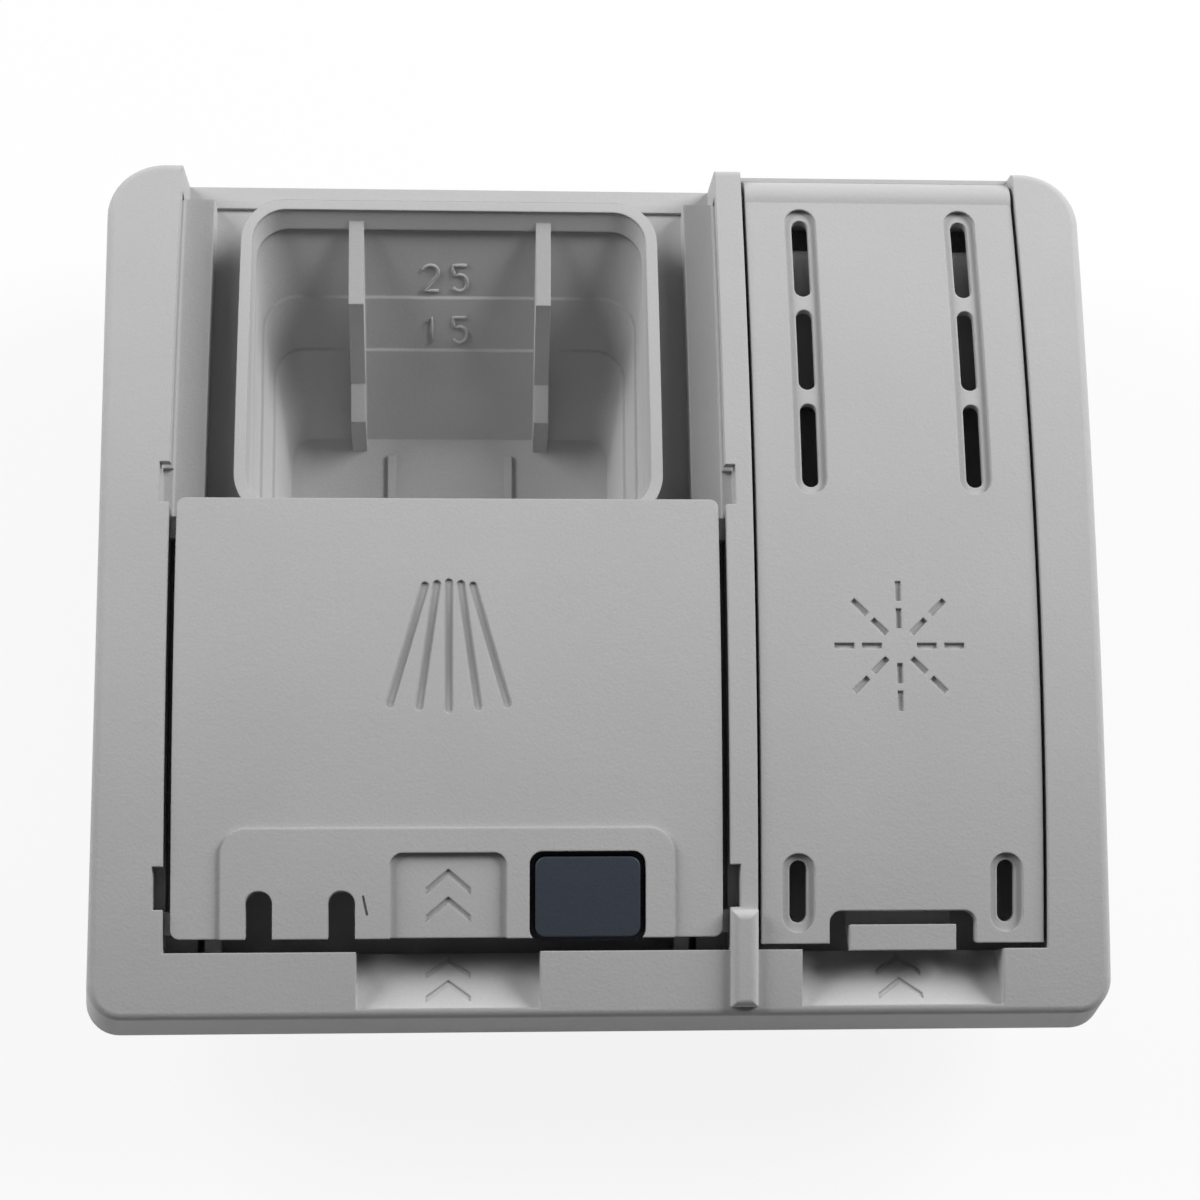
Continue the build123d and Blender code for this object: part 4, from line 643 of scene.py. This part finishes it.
@dataclass
class FillMark:
    """Raised number on the cup's sloping wall, beside a fill step.

    Each stroke is a round bead half sunk into the wall.
    """

    name: str
    digits: str
    centre: Point
    height: float = 4.5 * MM
    width: float = 2.9 * MM
    pitch: float = 4.9 * MM
    bead: float = 0.32 * MM
    slope: Tuple[float, float] = (0.8104, 0.5858)

    def stroke(self, digit: str) -> np.ndarray:
        """Middle line of one digit in a box from (-1, -1) to (1, 1).

        A bowl is an arc (cos a, sin a) about its own centre, and bars are straight.

        Args:
            digit: The digit to draw.

        Returns:
            Points along the line.
        """
        if digit == "1":
            return np.array([(-0.45, 0.6), (0.1, 1.0), (0.1, 0.0), (0.1, -1.0)])
        if digit == "2":
            turn = np.radians(np.linspace(165.0, -38.0, 16))
            bowl = np.stack([0.9 * np.cos(turn), 0.45 + 0.55 * np.sin(turn)], axis=1)
            return np.vstack([bowl, [(-0.9, -1.0), (0.0, -1.0), (0.95, -1.0)]])
        turn = np.radians(np.linspace(125.0, -145.0, 20))
        bowl = np.stack([0.9 * np.cos(turn), -0.36 + 0.64 * np.sin(turn)], axis=1)
        return np.vstack([[(0.85, 1.0), (0.0, 1.0), (-0.7, 1.0), (-0.75, 0.6)], bowl])

    def build(self, material: bpy.types.Material) -> None:
        """Makes the number and puts it on the wall.

        Args:
            material: Finish of the housing.
        """
        rise = np.array((0.0, *self.slope))
        outward = np.array((0.0, -self.slope[1], self.slope[0]))
        shell = None
        for place, digit in enumerate(self.digits):
            flat = self.stroke(digit) * (self.width / 2.0, self.height / 2.0)
            flat[:, 0] += (place - (len(self.digits) - 1) / 2.0) * self.pitch
            line = np.array(self.centre) + flat[:, :1] * (1.0, 0.0, 0.0) + flat[:, 1:] * rise
            bead = tube(line, outward, self.bead, self.bead)
            shell = bead if shell is None else shell + bead
        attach(shell.lay(self.name, material, Slot.GREY), "housing")


@dataclass
class WellRib:
    """Grey rib on the floor of the flap's well, seen through the flap's upper slots.

    Its top slopes away from the flap, so that the lower slots stay dark.
    """

    name: str
    x: float
    span: Tuple[float, float] = (57.0 * MM, 31.0 * MM)
    tops: Tuple[float, float] = (30.2 * MM, 28.4 * MM)
    foot: float = 23.8 * MM
    half_width: float = 2.9 * MM
    squareness: float = 0.3
    sections: int = 25
    sides: int = 40

    def build(self, material: bpy.types.Material) -> None:
        """Makes the rib from upright rounded sections, one at each step along Y.

        A section is x + w sign(c) |c|^k and z = m + h sign(s) |s|^k, with c and s the cosine and
        sine round it, m and h the middle and half height there and k the squareness.

        Args:
            material: Finish of the housing.
        """
        steps = np.linspace(0.0, 1.0, self.sections)[:, None]
        y = self.span[0] + (self.span[1] - self.span[0]) * steps
        top = self.tops[0] + (self.tops[1] - self.tops[0]) * steps
        angle = np.linspace(0.0, 2.0 * np.pi, self.sides, endpoint=False)[None, :]
        round_x, round_z = [np.sign(w) * np.abs(w) ** self.squareness
                            for w in (np.cos(angle), np.sin(angle))]
        high = (top - self.foot) / 2.0
        points = np.stack(np.broadcast_arrays(
            self.x + self.half_width * round_x, y, self.foot + high * (1.0 + round_z)), axis=-1)
        last = (self.sections - 1) * self.sides
        caps = [list(range(self.sides - 1, -1, -1)), list(range(last, last + self.sides))]
        quads = grid_quads(self.sections, self.sides).tolist()
        shell = Shell(points.reshape(-1, 3), quads + caps)
        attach(shell.lay(self.name, material, Slot.GREY), "housing")


@dataclass
class SubAssembly:
    """Solids that are dressed together, with the pieces that are made for them."""

    nodes: Tuple[str, ...] = ()

    def add(self, wardrobe: Wardrobe) -> None:
        """Makes the pieces that the solids lack; a plain sub-assembly has none."""

    def build(self, wardrobe: Wardrobe) -> None:
        """Dresses the solids and adds the made pieces.

        Args:
            wardrobe: Finishes of all slots.
        """
        for node in self.nodes:
            wardrobe.dress(node)
        self.add(wardrobe)


@dataclass
class Housing(SubAssembly):
    """Crowned moulding with its seal ring, tank tub, fill marks and well ribs."""

    nodes: Tuple[str, ...] = ("housing", "tank_cover", "door_gasket", "shaft_seal")
    marks: Tuple[FillMark, ...] = (
        FillMark("fill_mark_high", "25", (-25.3 * MM, 54.8 * MM, 20.57 * MM)),
        FillMark("fill_mark_low", "15", (-25.3 * MM, 47.2 * MM, 15.46 * MM)),
    )
    ribs: Tuple[WellRib, ...] = (
        WellRib("well_rib_left", 34.2 * MM), WellRib("well_rib_right", 61.2 * MM))

    def add(self, wardrobe: Wardrobe) -> None:
        """Adds the fill marks and ribs."""
        for piece in self.marks + self.ribs:
            piece.build(wardrobe.made[Slot.GREY])


@dataclass
class SlidingLid(SubAssembly):
    """Detergent lid with its button and springs."""

    nodes: Tuple[str, ...] = ("release_button", "button_retainer")
    finish: ScratchedPlastic = ScratchedPlastic("lid_moulding", GREY_COLOUR)
    spring_x: Tuple[float, float] = (-61.35 * MM, 12.45 * MM)
    spring_low: Tuple[float, float] = (-55.5 * MM, 28.4 * MM)
    spring_high: Tuple[float, float] = (6.7 * MM, 32.6 * MM)
    spring_radius: float = 1.35 * MM
    spring_turns: float = 52.0
    button_seat: Point = (-2.7 * MM, -49.13 * MM, 27.91 * MM)
    button_under: Point = (-2.7 * MM, -49.74 * MM, 31.96 * MM)
    button_radius: float = 2.5 * MM
    button_turns: float = 4.5
    wire: float = 0.28 * MM

    def add(self, wardrobe: Wardrobe) -> None:
        """Dresses the scratched lid and makes its two springs and the button's spring.

        Args:
            wardrobe: Finishes of all slots.
        """
        put_on(frame["nodes"]["lid"], self.finish.make())
        LOG.info("lid: %s", self.finish.name)
        steel = wardrobe.made[Slot.SPRING]
        for side, x in zip(("left", "right"), self.spring_x):
            node = f"lid_spring_{side}"
            CoilSpring(
                f"{node}_wire", node, (x, *self.spring_low), (x, *self.spring_high),
                self.spring_radius, self.wire, self.spring_turns, ("housing", "lid"),
                hooked=True).build(steel)
        CoilSpring(
            "button_spring_wire", "button_spring", self.button_seat, self.button_under,
            self.button_radius, self.wire, self.button_turns, ("lid", "button")).build(steel)


@dataclass
class RinseFlap(SubAssembly):
    """Rinse aid flap with its seal and latch."""

    nodes: Tuple[str, ...] = ("flap", "flap_seal", "flap_latch")


@dataclass
class TankFittings(SubAssembly):
    """Filler, dose dial, float and level sensor of the rinse aid tank."""

    nodes: Tuple[str, ...] = (
        "fill_funnel", "dosing_knob", "knob_ring", "float", "float_magnet", "float_pin",
        "level_sensor", "sensor_terminals")


@dataclass
class ReleaseGear(SubAssembly):
    """Catch, crank, solenoid and dosing valve behind the lid well."""

    nodes: Tuple[str, ...] = (
        "catch_shaft", "crank_arm", "crank_clip", "coil_bobbin", "coil_terminals",
        "solenoid_frame", "solenoid_screws", "armature", "dosing_valve")
    axis_y: float = -23.818 * MM
    axis_z: float = 13.0 * MM
    winding_x: Tuple[float, float] = (-6.0 * MM, 14.0 * MM)
    winding_radii: Tuple[float, float] = (5.4 * MM, 8.8 * MM)
    winding_points: int = 241
    winding_sides: int = 64
    wire_pitch: float = 0.5 * MM
    return_spring_x: Tuple[float, float] = (-8.7 * MM, -14.3 * MM)
    return_spring_radius: float = 5.0 * MM
    valve_spring_x: Tuple[float, float] = (38.97 * MM, 32.97 * MM)
    valve_spring_radius: float = 3.2 * MM
    spring_wire: float = 0.33 * MM
    spring_turns: float = 5.0

    def winding(self) -> Shell:
        """Wound coil: a profile turned about the coil's axis.

        The outer line is radius - pitch / 4 (1 - |sin(pi x / pitch)|), one bulge for each wire,
        and the inner line is straight.

        Returns:
            The closed surface.
        """
        x0, x1 = self.winding_x
        inner, outer = self.winding_radii
        x = np.linspace(x0, x1, self.winding_points)
        bulge = np.abs(np.sin(np.pi * (x - x0) / self.wire_pitch))
        line_x = np.concatenate([x, [x1, x0]])
        line_r = np.concatenate([outer - self.wire_pitch / 4.0 * (1.0 - bulge), [inner, inner]])
        turn = np.linspace(0.0, 2.0 * np.pi, self.winding_sides, endpoint=False)[:, None]
        points = np.stack(np.broadcast_arrays(
            line_x[None, :], self.axis_y + line_r * np.cos(turn),
            self.axis_z + line_r * np.sin(turn)), axis=-1)
        quads = grid_quads(len(turn), len(line_x), wrap_rows=True)
        return Shell(points.reshape(-1, 3), quads.tolist())

    def add(self, wardrobe: Wardrobe) -> None:
        """Makes the winding and the two springs.

        Args:
            wardrobe: Finishes of all slots.
        """
        copper = self.winding().lay("wound_copper", wardrobe.made[Slot.COPPER], Slot.COPPER)
        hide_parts("coil_winding")
        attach(copper, "housing")
        steel = wardrobe.made[Slot.SPRING]
        springs = (
            ("armature_spring", self.return_spring_x, self.return_spring_radius, "armature"),
            ("valve_spring", self.valve_spring_x, self.valve_spring_radius, "valve"))
        for node, (fixed, moving), radius, body in springs:
            CoilSpring(
                f"{node}_wire", node, (fixed, self.axis_y, self.axis_z),
                (moving, self.axis_y, self.axis_z), radius, self.spring_wire,
                self.spring_turns, ("housing", body)).build(steel)


@dataclass
class Studio:
    """Pale floor, soft lamps and the camera that saw the photograph."""

    camera_at: Point = (-23.06 * MM, -73.95 * MM, 428.07 * MM)
    backwards: Point = (-0.0584, -0.1771, 0.9825)
    roll: float = math.radians(-0.5)
    lens: float = 75.0
    sensor: float = 36.0
    near_clip: float = 0.01
    middle_shift: float = 4.0
    floor_half: float = 8.0
    flat_radius: float = 3.0
    sweep: float = 0.055
    floor_cells: int = 64
    paper: Colour = (0.86, 0.86, 0.86)
    white_share: float = 0.88
    world_strength: float = 0.08
    lamps: Tuple[Tuple[str, Point, float, float], ...] = (
        ("key_lamp", (0.88, 0.58, 0.60), 0.65, 18.0),
        ("side_lamp", (-0.88, 0.58, 0.58), 0.65, 12.5),
    )

    def floor_finish(self) -> bpy.types.Material:
        """Paper that camera, glossy and transmission rays see as nearly white.

        Returns:
            The material; its share of plain paper keeps the object's shadow.
        """
        graph = Graph("pale_floor")
        path = graph.node("ShaderNodeLightPath", {}, {}, "Is Camera Ray")
        outputs = path.socket.node.outputs
        seen = path
        for ray in ("Is Glossy Ray", "Is Transmission Ray"):
            seen = seen + Sock(graph, outputs[ray])
        paper = graph.node("ShaderNodeBsdfDiffuse", {}, {"Color": (*self.paper, 1.0)})
        white = graph.node(
            "ShaderNodeEmission", {}, {"Color": (1.0, 1.0, 1.0, 1.0), "Strength": 1.0})
        whole = graph.node(
            "ShaderNodeMixShader", {}, {0: self.white_share * seen, 1: paper, 2: white})
        graph.node("ShaderNodeOutputMaterial", {}, {"Surface": whole})
        return graph.material

    def floor(self) -> None:
        """Lays the floor, with the object's shadow left on it, and sweeps it up far away.

        The height is sweep s^2, with s the distance past the flat radius and no more than what
        the sides allow, so that low views meet the pale sweep and not the room.
        """
        row = self.floor_cells + 1
        spots = np.linspace(-self.floor_half, self.floor_half, row)
        u, v = np.meshgrid(spots, spots)
        past = np.clip(np.hypot(u, v), self.flat_radius, self.floor_half) - self.flat_radius
        points = np.stack([u, v, self.sweep * past ** 2], axis=-1).reshape(-1, 3)
        cells = np.arange(self.floor_cells)
        first = (cells[:, None] * row + cells).ravel()
        quads = np.stack([first, first + 1, first + row + 1, first + row], axis=-1)
        mesh = bpy.data.meshes.new("floor")
        mesh.from_pydata(points.tolist(), [], quads.tolist())
        mesh.polygons.foreach_set("use_smooth", np.ones(len(mesh.polygons), dtype=bool))
        obj = bpy.data.objects.new("floor", mesh)
        bpy.context.scene.collection.objects.link(obj)
        put_on(obj, self.floor_finish())

    def light(self) -> None:
        """Sets the soft lamps and the even light of the room."""
        world = bpy.data.worlds.new("room")
        bpy.context.scene.world = world
        world.use_nodes = True
        sky = world.node_tree.nodes["Background"]
        sky.inputs["Color"].default_value = (1.0, 1.0, 1.0, 1.0)
        sky.inputs["Strength"].default_value = self.world_strength
        for name, place, size, power in self.lamps:
            lamp = bpy.data.lights.new(name, "AREA")
            lamp.energy = power
            lamp.size = size
            obj = bpy.data.objects.new(name, lamp)
            obj.location = place
            obj.rotation_euler = (-Vector(place)).to_track_quat("-Z", "Y").to_euler()
            bpy.context.scene.collection.objects.link(obj)

    def camera(self) -> None:
        """Sets the camera at the place fitted to the photograph."""
        back = Vector(self.backwards).normalized()
        right = (-back).cross(Vector((0.0, 1.0, 0.0))).normalized()
        upward = right.cross(-back)
        c, s = math.cos(self.roll), math.sin(self.roll)
        turned = Matrix((c * right + s * upward, c * upward - s * right, back)).transposed()
        lens = bpy.data.cameras.new("camera")
        lens.lens = self.lens
        lens.sensor_width = self.sensor
        lens.shift_x = -self.middle_shift / IMAGE_SIDE
        lens.clip_start = self.near_clip
        obj = bpy.data.objects.new("camera", lens)
        obj.matrix_world = Matrix.Translation(self.camera_at) @ turned.to_4x4()
        bpy.context.scene.collection.objects.link(obj)
        bpy.context.scene.camera = obj

    def build(self) -> None:
        """Sets the whole studio."""
        bpy.context.scene.view_settings.view_transform = "Standard"
        self.floor()
        self.light()
        self.camera()


def main() -> None:
    """Builds the studio and every sub-assembly."""
    logging.basicConfig(level=logging.INFO, format="%(message)s")
    Studio().build()
    wardrobe = Wardrobe()
    wardrobe.cut()
    for assembly in (Housing(), SlidingLid(), RinseFlap(), TankFittings(), ReleaseGear()):
        assembly.build(wardrobe)
        LOG.info("%s finished", type(assembly).__name__)


if __name__ == "__main__":
    main()
